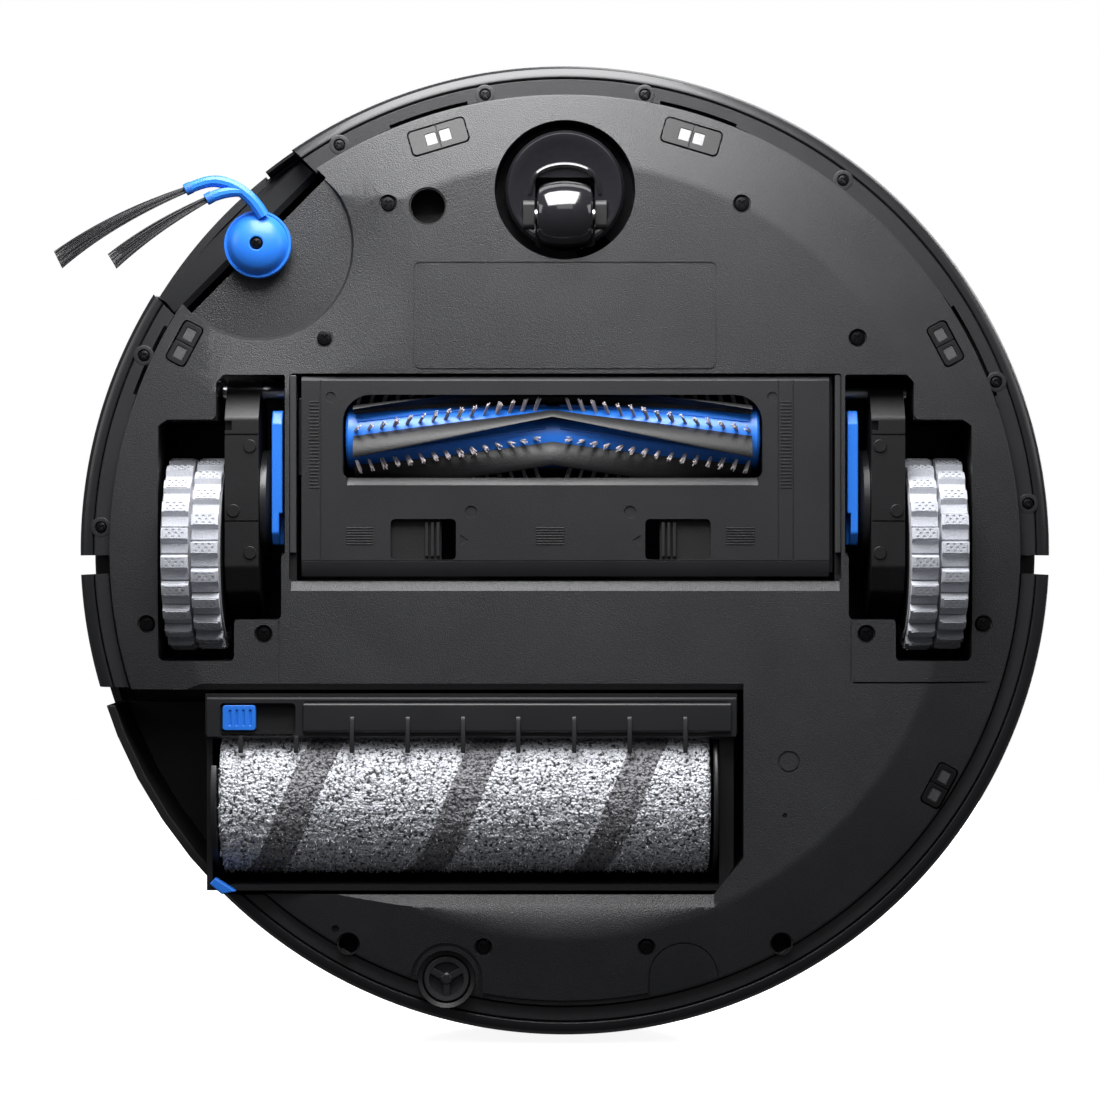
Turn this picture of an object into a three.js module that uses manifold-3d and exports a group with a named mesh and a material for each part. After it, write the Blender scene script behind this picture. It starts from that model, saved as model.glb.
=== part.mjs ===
// Robot vacuum cleaner with a roller mop, as an assembly of separate pieces.
// Millimetres, +Z up. The origin is on the floor under the middle of the round body.
// -Y is the front, where the bumper is; the roller mop lies across the rear, towards -X.
import * as THREE from 'three';
import { mergeVertices } from 'three/addons/utils/BufferGeometryUtils.js';
import Module from 'manifold-3d';

const wasm = await Module();
wasm.setup();

// ---------- driving dimensions ----------
const GAP = 0.3; // between pieces that touch
const WALL = 2.4; // moulded plastic wall
const SEGMENTS = 64; // facets of the large circles

// body
const BODY_R = 176.5;
const BELLY_Z = 9; // ground clearance
const DECK_Z = 84; // top of the body
const CREASE_R = BODY_R - 38.8; // where the flat belly turns into the slope
const RIM_R = BODY_R - 14; // outer edge of the bottom cover
const RIM_RISE = 6.2; // how much the slope climbs
const RING_WALL = 2.9; // bumper and side shell
const STRIP_IN_R = BODY_R - 15.5; // inner edge of the strip under the bumper
const LIP_R = BODY_R - 8; // seam between the strip and the bumper
const BUMPER_TRAVEL = 4;
const BUMPER_END_Y = 2; // the bumper covers everything in front of this
const SHELL_START_Y = 9; // the side shell covers everything behind this
const LID_HALF_W = 85;
const LID_FRONT_Y = -100;
const LID_REAR_Y = 32;
const BUTTON_R = 9;
const BUTTON_Y = -125;

// suction brush bay, across the belly
const BAY_X = [-95.4, 95.9];
const BAY_Y = [-62.7, 10.9];
const BRUSH_X = [-76.3, 67.6];
const BRUSH_Y = -40.3;
const BRUSH_R = 17.5;
const BRUSH_Z = BRUSH_R + 3.5;
const BAY_TOP = BRUSH_Z + BRUSH_R + 7.5;
const CORE_R = BRUSH_R * 0.657;
const MOUTH_X = [-78.9, 70.1];
const GUARD_T = 2.2;
const MOUTH_HALF = Math.sqrt(BRUSH_R ** 2 - (BRUSH_Z - BELLY_Z - GUARD_T) ** 2); // brush in the guard
const MOUTH_Y = [BRUSH_Y - MOUTH_HALF - GAP, BRUSH_Y + MOUTH_HALF + 0.2];
const DUCT = [[-20, 20], [-12, 2]]; // from the bay up into the dust bin
const LATCH_TRAVEL = 4;

// drive wheels and their arms, each side of the bay
const WHEEL_R = 34.6;
const WHEEL_W = 21;
const WHEEL_X = 132.5;
const WHEEL_Y = 1.4;
const TYRE_T = 6;
const WELL_TOP = 2 * WHEEL_R + 3.8;
const PIVOT_Y = -56.7;
const PIVOT_Z = 30;
const PIVOT_R = 2.4;
const ARM_X = [109, 121];
const SPRING_TURNS = 5;

// swivel caster at the front
const SOCKET_Y = -128.1;
const YOKE_R = 21.2;
const SOCKET_R = YOKE_R + 3.8;
const SOCKET_TOP = 34;
const CASTER_R = 12;
const CASTER_W = 19.6;
const CASTER_TRAIL = 8.8;

// side brush, front left
const SIDE_REACH = BODY_R - 22.6324; // hub's distance from the middle
const SIDE_X = -0.709051 * SIDE_REACH;
const SIDE_Y = -0.705152 * SIDE_REACH;
const HUB_R = 12;
const DISC_R = 33; // sunk disc round the hub
const CONE_R = 54; // slope round the disc

// roller mop, rear left
const MOP_X = [-122.5, 51.5];
const MOP_Y = 88.9;
const MOP_R = 28;
const MOP_Z = MOP_R + 0.6;
const MOP_CORE_R = MOP_R - 8;
const MOP_BAY_Y = [MOP_Y - MOP_R - 11.3, MOP_Y + MOP_R + 5.6];
const MOP_BAY_RIGHT = 63.4;
const MOP_BAY_TOP = MOP_Z + MOP_R + 7;
const RIB_PITCH = 19.6;

// ---------- finishes ----------
const finish = (color, roughness, metalness = 0) => ({ color, roughness, metalness });
const SHELL = finish(0x35363a, 0.55);
const BLACK = finish(0x17181a, 0.6);
const GLOSS = finish(0x26272b, 0.3);
const BLUE = finish(0x2f80f0, 0.4);
const RUBBER = finish(0x101112, 0.75);
const TREAD = finish(0xc9ccd2, 0.7);
const NAP = finish(0xd5d8de, 0.95);
const LENS = finish(0x77797c, 0.2);
const STEEL = finish(0xa8abb0, 0.35, 1);
const CLEAR = finish(0x5d6670, 0.3);
const BRISTLE = finish(0x4a4b4f, 0.8);
const CELL = finish(0x2c5a3c, 0.5);

// ---------- geometry helpers ----------
/** Signed volume of an indexed triangle soup; negative when it is inside out. */
function signedVolume(position, index) {
  const [a, b, c] = [new THREE.Vector3(), new THREE.Vector3(), new THREE.Vector3()];
  let volume = 0;
  for (let i = 0; i < index.length; i += 3) {
    a.fromBufferAttribute(position, index[i]);
    b.fromBufferAttribute(position, index[i + 1]);
    c.fromBufferAttribute(position, index[i + 2]);
    volume += a.dot(b.cross(c)) / 6;
  }
  return volume;
}

/** Turns a closed three.js geometry into a manifold solid that faces outwards. */
function solid(geometry) {
  geometry.deleteAttribute('normal');
  geometry.deleteAttribute('uv');
  const merged = mergeVertices(geometry, 1e-4);
  const source = merged.index.array;
  let index = [];
  for (let i = 0; i < source.length; i += 3) {
    const [a, b, c] = [source[i], source[i + 1], source[i + 2]];
    if (a !== b && b !== c && c !== a) index.push(a, b, c);
  }
  if (signedVolume(merged.attributes.position, index) < 0) index = index.reverse();
  return new wasm.Manifold(new wasm.Mesh({
    numProp: 3,
    vertProperties: new Float32Array(merged.attributes.position.array),
    triVerts: new Uint32Array(index),
  }));
}

/** Axis-aligned block between two x, two y and two z values, in either order. */
function block([x0, x1], [y0, y1], [z0, z1]) {
  const geometry = new THREE.BoxGeometry(Math.abs(x1 - x0), Math.abs(y1 - y0), Math.abs(z1 - z0));
  return solid(geometry.translate((x0 + x1) / 2, (y0 + y1) / 2, (z0 + z1) / 2));
}

/** Upright cylinder. */
function post(radius, [z0, z1], x = 0, y = 0, segments = 32) {
  const geometry = new THREE.CylinderGeometry(radius, radius, z1 - z0, segments);
  return solid(geometry.rotateX(Math.PI / 2).translate(x, y, (z0 + z1) / 2));
}

/** Cylinder along X. */
function rod(radius, [x0, x1], y = 0, z = 0, segments = 24) {
  const geometry = new THREE.CylinderGeometry(radius, radius, Math.abs(x1 - x0), segments);
  return solid(geometry.rotateZ(Math.PI / 2).translate((x0 + x1) / 2, y, z));
}

/** Solid of revolution about Z from a closed list of [radius, height]. */
function turned(profile, segments = SEGMENTS) {
  const points = profile.map(([r, z]) => new THREE.Vector2(r, z));
  points.push(points[0].clone());
  return solid(new THREE.LatheGeometry(points, segments).rotateX(Math.PI / 2));
}

/** Prism of an XY outline between two heights. */
function prism(outline, [z0, z1]) {
  const shape = new THREE.Shape(outline.map(([x, y]) => new THREE.Vector2(x, y)));
  const geometry = new THREE.ExtrudeGeometry(shape, { depth: z1 - z0, bevelEnabled: false });
  return solid(geometry.translate(0, 0, z0));
}

/** Prism of a YZ outline between two x values. */
function prismX(outline, [x0, x1]) {
  const shape = new THREE.Shape(outline.map(([y, z]) => new THREE.Vector2(y, z)));
  const depth = Math.abs(x1 - x0);
  const geometry = new THREE.ExtrudeGeometry(shape, { depth, bevelEnabled: false });
  const toX = new THREE.Matrix4().set(0, 0, 1, Math.min(x0, x1), 1, 0, 0, 0, 0, 1, 0, 0, 0, 0, 0, 1);
  return solid(geometry.applyMatrix4(toX));
}

/** Round tube along a smooth path through points. */
function tube(points, radius, steps, sides = 8) {
  const path = new THREE.CatmullRomCurve3(points.map((p) => new THREE.Vector3(...p)));
  const section = new THREE.Shape();
  for (let i = 0; i < sides; i += 1) {
    const turn = (i / sides) * 2 * Math.PI;
    section[i ? 'lineTo' : 'moveTo'](radius * Math.cos(turn), radius * Math.sin(turn));
  }
  const options = { steps, extrudePath: path, bevelEnabled: false };
  return solid(new THREE.ExtrudeGeometry(section, options));
}

/** A named mesh from a manifold solid. */
function piece(name, body, look, place = [0, 0, 0]) {
  const { vertProperties, triVerts } = body.getMesh();
  const geometry = new THREE.BufferGeometry();
  geometry.setAttribute('position', new THREE.BufferAttribute(new Float32Array(vertProperties), 3));
  geometry.setIndex(new THREE.BufferAttribute(new Uint32Array(triVerts), 1));
  const mesh = new THREE.Mesh(geometry, new THREE.MeshStandardMaterial(look));
  mesh.name = name;
  mesh.position.set(...place);
  return mesh;
}

/** A group of pieces at a place. */
function assembly(pieces, place = [0, 0, 0]) {
  const group = new THREE.Group();
  group.add(...pieces);
  group.position.set(...place);
  return group;
}

const BIG = BODY_R * 2;
const inFrontOf = (y) => block([-BIG, BIG], [-BIG, y], [-10, 200]);
const behind = (y) => block([-BIG, BIG], [y, BIG], [-10, 200]);
const span = ([a, b], grow) => [a - grow, b + grow];

// ---------- openings that several pieces share ----------
const RIM_Z = BELLY_Z + RIM_RISE;
const STRIP_Z = RIM_Z + WALL + 0.2; // underside of the strip, just above the rim
const RING_TOP = DECK_Z - 5;

/** Straight cut across the front left corner, from a distance outwards. */
function cornerCut(distance, [low, high], [z0, z1]) {
  const cut = block([low, high], [distance, BIG], [z0, z1]);
  const turn = (Math.atan2(SIDE_Y, SIDE_X) * 180) / Math.PI - 90;
  return cut.rotate([0, 0, turn]);
}

/** The three blocks that make up one wheel well. */
function wheelWell(side, grow, z) {
  const wells = [
    [[98 - grow, 123.9 + grow], [BAY_Y[0] + 0.4 - grow, 1.1 + grow]],
    [[100.7 - grow, 123.9 + grow], [0, 24.8 + grow]],
    [[117.4 - grow, WHEEL_X + WHEEL_W / 2 + 1.8 + grow], [-46.4 - grow, 39.6 + grow]],
  ];
  return wells
    .map(([x, y]) => block([side * x[0], side * x[1]], y, z))
    .reduce((whole, part) => whole.add(part));
}

/** Outline of the mop bay, open to the left, with one corner cut off. */
function mopBay(grow, z) {
  const [front, rear] = MOP_BAY_Y;
  const right = MOP_BAY_RIGHT;
  return prism([
    [-BIG, front - grow], [right + grow, front - grow], [right + grow, rear - 13 + grow / 2],
    [right - 8 + grow / 2, rear + grow], [-BIG, rear + grow],
  ], z);
}

// ---------- body shells ----------
function bottomCover() {
  const pan = turned([
    [0, BELLY_Z], [CREASE_R, BELLY_Z], [RIM_R, RIM_Z],
    [RIM_R, RIM_Z + WALL], [CREASE_R, BELLY_Z + WALL], [0, BELLY_Z + WALL],
  ]);
  const low = STRIP_IN_R - BUMPER_TRAVEL - 0.6; // stays inside the strip when the bumper is pushed
  const high = BODY_R - RING_WALL - BUMPER_TRAVEL - 1;
  const frontWall = turned([
    [low - WALL, RIM_Z - 1.6], [low, RIM_Z - 1.6], [low, STRIP_Z + 6.8], [high, STRIP_Z + 6.8],
    [high, RING_TOP], [high - WALL, RING_TOP], [high - WALL, STRIP_Z + 9.2], [low - WALL, STRIP_Z + 9.2],
  ]).intersect(inFrontOf(BUMPER_END_Y));
  const inside = post(STRIP_IN_R - 8, [BELLY_Z, WELL_TOP + WALL], 0, 0, SEGMENTS);
  const tubs = [
    block(span(BAY_X, WALL), span(BAY_Y, WALL), [BELLY_Z, BAY_TOP + WALL]),
    mopBay(WALL, [BELLY_Z, MOP_BAY_TOP + WALL]).intersect(inside),
    post(SOCKET_R + WALL, [BELLY_Z, SOCKET_TOP + WALL], 0, SOCKET_Y),
    post(CONE_R + 2, [BELLY_Z, BELLY_Z + 9], SIDE_X, SIDE_Y, 40).intersect(inside),
    wheelWell(1, WALL, [BELLY_Z, WELL_TOP + WALL]).intersect(inside),
    wheelWell(-1, WALL, [BELLY_Z, WELL_TOP + WALL]).intersect(inside),
  ];
  const sidePocket = turned([
    [0, -5], [CONE_R, -5], [CONE_R, BELLY_Z],
    [DISC_R + 1, BELLY_Z + 3], [DISC_R, BELLY_Z + 5.5], [0, BELLY_Z + 5.5],
  ], 40).translate([SIDE_X, SIDE_Y, 0]);
  const slope = turned([
    [CREASE_R, -5], [CREASE_R, BELLY_Z], [RIM_R, RIM_Z], [RIM_R + 20, RIM_Z], [RIM_R + 20, -5],
  ]);
  const cavities = [
    slope,
    block(BAY_X, BAY_Y, [-5, BAY_TOP]),
    block(...DUCT, [BAY_TOP - 1, BAY_TOP + WALL + 1]),
    mopBay(0, [-5, MOP_BAY_TOP]),
    post(SOCKET_R, [-5, SOCKET_TOP], 0, SOCKET_Y),
    sidePocket,
    wheelWell(1, 0, [-5, WELL_TOP]),
    wheelWell(-1, 0, [-5, WELL_TOP]),
    cornerCut(SIDE_REACH, [-34, 34], [-5, STRIP_Z + 3]),
    post(5.2, [-5, SOCKET_TOP + 20], 0, SOCKET_Y), // swivel stem
    post(4, [-5, 40], SIDE_X, SIDE_Y), // side brush shaft
    ...screwPlaces().map(([x, y]) => post(3.2, [-5, BELLY_Z + 1.2], x, y, 12)),
    ...lensPlaces().map((lens) => lensBlock(lens, GAP)),
    post(PORT_R + GAP, [-5, 40], PORT_X, PORT_Y),
  ];
  let cover = pan.add(frontWall);
  for (const tub of tubs) cover = cover.add(tub);
  for (const cavity of cavities) cover = cover.subtract(cavity);
  return piece('bottom_cover', cover, SHELL);
}

function sideShell() {
  const lip = BODY_R - RING_WALL;
  const ring = turned([
    [RIM_R + 0.5, STRIP_Z - 0.4], [LIP_R, STRIP_Z - 0.4], [lip, STRIP_Z + 0.8], [BODY_R, STRIP_Z + 5],
    [BODY_R, RING_TOP + 0.2], [lip, RING_TOP + 0.2], [lip, STRIP_Z + 6],
    [LIP_R, STRIP_Z + 2], [RIM_R + 0.5, STRIP_Z + 2],
  ]);
  const mopGap = block([-BIG, -60], span(MOP_BAY_Y, 0.6), [-5, MOP_BAY_TOP + 2]);
  return piece('side_shell', ring.intersect(behind(SHELL_START_Y)).subtract(mopGap), SHELL);
}

function topCover() {
  const [skin, edge] = [DECK_Z - WALL, BODY_R - 5.5];
  let cover = turned([
    [0, skin], [edge, skin], [edge, RING_TOP + 0.6], [BODY_R, RING_TOP + 0.6],
    [BODY_R, DECK_Z - 2.6], [BODY_R - 1.8, DECK_Z - 0.7], [BODY_R - 5, DECK_Z], [0, DECK_Z],
  ]);
  cover = cover.subtract(block([-LID_HALF_W, LID_HALF_W], [LID_FRONT_Y, LID_REAR_Y], [0, 200]));
  cover = cover.subtract(post(BUTTON_R + 0.5, [0, 200], 0, BUTTON_Y));
  return piece('top_cover', cover, SHELL);
}

function lid() {
  const plate = block([-LID_HALF_W + 0.5, LID_HALF_W - 0.5], [LID_FRONT_Y + 0.5, LID_REAR_Y - 0.5],
    [DECK_Z - WALL, DECK_Z]);
  return piece('lid', plate, GLOSS);
}

function bumper() {
  const lip = BODY_R - RING_WALL;
  const ring = turned([
    [STRIP_IN_R, STRIP_Z], [LIP_R, STRIP_Z], [lip, STRIP_Z + 0.8], [BODY_R, STRIP_Z + 5],
    [BODY_R, RING_TOP - 2.5], [BODY_R - 1, RING_TOP], [lip, RING_TOP], [lip, STRIP_Z + 6],
    [LIP_R, STRIP_Z + 2.2], [STRIP_IN_R, STRIP_Z + 2.2],
  ]).intersect(inFrontOf(BUMPER_END_Y));
  const shell = ring.subtract(cornerCut(SIDE_REACH - 53.8676, [-33, 39], [-5, 58])).subtract(windowBand(GAP));
  return piece('bumper', shell, SHELL);
}

/** Curved band on the front of the bumper, grown by a clearance. */
function windowBand(grow) {
  const [z0, z1] = [46 - grow, 66 + grow];
  const [near, far] = [BODY_R - 1.2 - grow, BODY_R - 0.1 + grow * 4];
  const band = turned([[near, z0], [far, z0], [far, z1], [near, z1]]);
  return band.intersect(block([-110 - grow, 110 + grow], [-BIG, 0], [0, 100]));
}

// ---------- small features of the belly ----------
const PORT_X = -42.2;
const PORT_Y = Math.sqrt((BODY_R - 17.9797) ** 2 - PORT_X ** 2); // just inside the side shell
const PORT_R = 8;

/** Cover screws, in from the edge of the belly. */
function screwPlaces() {
  return [
    [-62.8, -123], [62.8, -123], [103.9, -75.3], [-85.5, -75.3], [-149, 26.4],
    [-107, 29.8], [149, 26.4], [107, 29.8], [-29, 141.2], [29, 141.2],
  ];
}

/** Cliff sensors: name, place, size and turn about Z in degrees. */
function lensPlaces() {
  const front = { y: -147.2, size: [20, 8.4] };
  return [
    { name: 'cliff_lens_front_left', x: -45.1, turn: -16.5, ...front },
    { name: 'cliff_lens_front_right', x: 45.1, turn: 16.5, ...front },
    { name: 'cliff_lens_left', x: -135.5, y: -73.5, size: [7.2, 15], turn: 28 },
    { name: 'cliff_lens_right', x: 135.5, y: -73.5, size: [7.2, 15], turn: -28 },
    { name: 'cliff_lens_rear', x: 133.4, y: 84, size: [7.2, 15], turn: 28 },
  ];
}

function lensBlock({ x, y, size, turn }, grow) {
  const surface = BELLY_Z + Math.max(0, ((Math.hypot(x, y) - CREASE_R) * RIM_RISE) / (RIM_R - CREASE_R));
  const [halfW, halfL] = [size[0] / 2 + grow, size[1] / 2 + grow];
  const top = surface + (grow ? 20 : WALL + 0.4);
  return block([-halfW, halfW], [-halfL, halfL], [grow ? -5 : surface + 1.4, top])
    .rotate([0, 0, turn]).translate([x, y, 0]);
}

function bellyDetails() {
  const lenses = lensPlaces().map((lens) => piece(lens.name, lensBlock(lens, 0), LENS));
  let port = post(PORT_R, [BELLY_Z + 4, BELLY_Z + 8]).subtract(post(PORT_R - 1.6, [0, BELLY_Z + 6.5]));
  for (const turn of [0, 120, 240]) {
    const spoke = block([-1.1, 1.1], [0, PORT_R - 1], [BELLY_Z + 4.4, BELLY_Z + 7]);
    port = port.add(spoke.rotate([0, 0, turn]));
  }
  return [...lenses, piece('water_port', port, BLACK, [PORT_X, PORT_Y, 0])];
}

// ---------- suction brush ----------
/** Section of the brush: a round core with fins, as a closed outline. */
function finnedSection(root, tip, fins, thickness) {
  const outline = [];
  for (let i = 0; i < fins; i += 1) {
    const mid = (i / fins) * 2 * Math.PI;
    const [rootHalf, tipHalf] = [thickness / root, thickness / 2 / tip];
    for (const [r, a] of [[root, -rootHalf], [tip, -tipHalf], [tip, tipHalf], [root, rootHalf]]) {
      outline.push([r * Math.cos(mid + a), r * Math.sin(mid + a)]);
    }
    const between = mid + Math.PI / fins;
    outline.push([root * Math.cos(between), root * Math.sin(between)]);
  }
  return outline;
}

/** Half of the rubber sleeve, twisted one way along Z. */
function twistedHalf(length, twist) {
  const section = finnedSection(CORE_R + 1.6, BRUSH_R, 4, 1.6);
  const shape = new THREE.Shape(section.map((p) => new THREE.Vector2(...p)));
  const bore = new THREE.Path();
  bore.absarc(0, 0, CORE_R + 2 * GAP, 0, 2 * Math.PI, true);
  shape.holes.push(bore);
  const options = { depth: length, steps: 5, bevelEnabled: false, curveSegments: 10 };
  const geometry = new THREE.ExtrudeGeometry(shape, options);
  const point = new THREE.Vector3();
  const position = geometry.attributes.position;
  for (let i = 0; i < position.count; i += 1) {
    point.fromBufferAttribute(position, i);
    point.applyAxisAngle(new THREE.Vector3(0, 0, 1), (twist * point.z) / length);
    position.setXYZ(i, point.x, point.y, point.z);
  }
  return solid(geometry);
}

function mainBrush() {
  const half = (BRUSH_X[1] - BRUSH_X[0]) / 2;
  const one = twistedHalf(half, 1.1);
  const blades = one.add(one.mirror([0, 0, 1])).rotate([0, 90, 0]);
  const core = rod(CORE_R, [-half - 1.5, half + 1.5], 0, 0, 32);
  const stub = rod(3.4, [half + 1, half + 4], 0, 0, 6);
  const ends = core.add(stub).add(rod(3, [-half - 4, -half], 0, 0, 20));
  const place = [(BRUSH_X[0] + BRUSH_X[1]) / 2, BRUSH_Y, BRUSH_Z];
  return assembly([piece('brush_core', ends, BLUE), piece('brush_blades', blades, RUBBER)], place);
}

/** Bearing block on the left and gear box on the right, which hold the brush. */
function brushEnds() {
  const low = BELLY_Z + GUARD_T + 2.4; // clear of the guard's front edge as it swings down
  const leftX = [BAY_X[0] + GAP, BRUSH_X[0] - 2.4];
  const bearing = block(leftX, [BRUSH_Y - 14, BRUSH_Y + 14], [low, BAY_TOP - GAP])
    .subtract(rod(3.6, [leftX[1] - 3, leftX[1] + 1], BRUSH_Y, BRUSH_Z));
  const rightX = [BRUSH_X[1] + 2.4, BAY_X[1] - GAP];
  const gears = block(rightX, [BAY_Y[0] + GAP, BAY_Y[1] - 2.6], [low, BAY_TOP - GAP])
    .subtract(rod(4, [rightX[0] - 1, rightX[0] + 3], BRUSH_Y, BRUSH_Z));
  return [piece('brush_bearing', bearing, BLACK), piece('brush_gearbox', gears, BLACK)];
}

const LATCH_WINDOWS = [[-61.9, -38.7], [28.5, 51.7]];
const LATCH_Y = [-11, 3.5];

function brushGuard() {
  const [x0, x1] = [BAY_X[0] + 1.9, BAY_X[1] - 2.1];
  const [front, rear] = [BAY_Y[0] + 1.1, BAY_Y[1] - 1.5];
  const top = BELLY_Z + GUARD_T;
  let guard = prismX([
    [front + 1.5, BELLY_Z], [rear - 5, BELLY_Z], [rear, BELLY_Z + 1.2],
    [rear, top], [front, top], [front, BELLY_Z + 1.5],
  ], [x0, x1]);
  guard = guard.subtract(block(MOUTH_X, MOUTH_Y, [0, 30]));
  for (const window of LATCH_WINDOWS) guard = guard.subtract(block(window, LATCH_Y, [0, 30]));
  return piece('brush_guard', guard, SHELL);
}

/** Sliding latches with a grip that stands in each window. */
function guardLatches() {
  const top = BELLY_Z + GUARD_T;
  const names = ['guard_latch_left', 'guard_latch_right'];
  return names.map((name, i) => {
    const [x0, x1] = LATCH_WINDOWS[i];
    const inner = i === 0 ? x1 - LATCH_TRAVEL - 1.2 : x0 + LATCH_TRAVEL + 1.2; // end near the middle
    const outward = i === 0 ? -1 : 1;
    const grip = block([inner, inner + outward * 6], span(LATCH_Y, -1), [BELLY_Z + 0.6, top + 1.2]);
    const slab = block([inner, inner + outward * 26], span(LATCH_Y, 1.5), [top + GAP, top + 2]);
    return piece(name, slab.add(grip), BLACK);
  });
}

// ---------- drive wheels ----------
function driveArm(side) {
  const outline = [
    [-61.2, 27], [-61.2, 33], [-52, WELL_TOP - 27],
    [-20, WELL_TOP - 13], [8, WELL_TOP - 13], [22, WELL_TOP - 25],
    [23.6, 34], [15, 16], [6, 11.5], [-47, 11.5], [-58, 20],
  ];
  const bore = rod(PIVOT_R + GAP, [-200, 200], PIVOT_Y, PIVOT_Z);
  const axleBore = rod(4.4, [side * (ARM_X[1] - 4), side * 200], WHEEL_Y, WHEEL_R);
  const box = prismX(outline, [side * ARM_X[0], side * ARM_X[1]]);
  return piece(`${sideName(side)}_drive_arm`, box.subtract(bore).subtract(axleBore), BLACK);
}

const sideName = (side) => (side < 0 ? 'left' : 'right');

function driveUnit(side) {
  const name = sideName(side);
  const x = (near, far) => [side * near, side * far];
  const cover = rod(19.4, x(ARM_X[0] - 4.4, ARM_X[0] - GAP), -16.7, 32, 40);
  const link = [
    [-49.6, 14], [-49.6, 38], [-36, 44], [-8, 44], [-1.8, 30], [-1.8, 14], [-6, 10.5], [-45, 10.5],
  ];
  const plate = prismX(link,
    x(100.4, ARM_X[0] - 4.7));
  const pin = rod(PIVOT_R, x(98.3, 123.6), PIVOT_Y, PIVOT_Z);
  const coil = [];
  for (let i = 0; i <= SPRING_TURNS * 8; i += 1) {
    const turn = (i / 8) * 2 * Math.PI;
    coil.push([side * 115 + 4.2 * Math.cos(turn), -38 + i * 0.9, WELL_TOP - 7.5 + 4.2 * Math.sin(turn)]);
  }
  const hubX = [WHEEL_W / 2 - 1, -WHEEL_W / 2 - 0.4];
  const hub = rod(WHEEL_R - TYRE_T - GAP, x(hubX[0], hubX[1]), 0, 0, 32)
    .subtract(rod(WHEEL_R - TYRE_T - 4, x(hubX[0] - 3, hubX[0] + 5), 0, 0, 32))
    .add(rod(9, x(hubX[0] - 3.5, hubX[0] - 1), 0, 0, 24))
    .add(rod(4, x(hubX[1] - 3.4, hubX[1] + 1), 0, 0, 20));
  const tyre = rod(WHEEL_R, x(WHEEL_W / 2, -WHEEL_W / 2), 0, 0, 48)
    .subtract(rod(WHEEL_R - TYRE_T, x(WHEEL_W, -WHEEL_W), 0, 0, 48));
  const wheel = assembly([
    piece(`${name}_wheel_hub`, hub, BLACK), piece(`${name}_tyre`, tyre, TREAD),
  ], [side * WHEEL_X, WHEEL_Y, WHEEL_R]);
  return assembly([
    driveArm(side),
    piece(`${name}_motor_cover`, cover, BLACK),
    piece(`${name}_hinge_plate`, plate, BLUE),
    piece(`${name}_pivot_pin`, pin, STEEL),
    piece(`${name}_arm_spring`, tube(coil, 0.8, SPRING_TURNS * 8, 5), STEEL),
    wheel,
  ]);
}

// ---------- caster ----------
function caster() {
  const floor = -BELLY_Z; // heights inside the group are from the belly
  const dome = turned([
    [0, 4], [13, 3.4], [YOKE_R - 1.6, 1.6], [YOKE_R, 3.6], [YOKE_R, 19], [YOKE_R - 3, 23.6], [0, 23.6],
  ], 32);
  const axle = [0, CASTER_TRAIL, CASTER_R + floor];
  const wheelRoom = rod(CASTER_R + 1.4, [-CASTER_W / 2 - 0.8, CASTER_W / 2 + 0.8], axle[1], axle[2], 32)
    .add(block([-CASTER_W / 2 - 0.8, CASTER_W / 2 + 0.8], [axle[1], 60], [-20, axle[2] + CASTER_R + 1.4]));
  const cheeks = block([-14.6, 14.6], [axle[1] - 5, axle[1] + 5.5], [0, 8])
    .subtract(block([-CASTER_W / 2 - 0.8, CASTER_W / 2 + 0.8], [-60, 60], [-20, 60]));
  const yoke = dome.add(post(4.8, [23, 23.6 + 9], 0, 0, 24)).subtract(wheelRoom).add(cheeks)
    .subtract(rod(2.3, [-13, 13], axle[1], axle[2]));
  const barrel = rod(CASTER_R, [-CASTER_W / 2 + 3, CASTER_W / 2 - 3], 0, 0, 32)
    .add(rod(CASTER_R - 1.6, [-CASTER_W / 2, CASTER_W / 2], 0, 0, 32))
    .subtract(rod(2.3, [-30, 30], 0, 0));
  return assembly([
    piece('caster_yoke', yoke, GLOSS),
    piece('caster_wheel', barrel, GLOSS, axle),
    piece('caster_axle', rod(2, [-12.6, 12.6]), STEEL, axle),
  ], [0, SOCKET_Y, BELLY_Z]);
}

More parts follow.
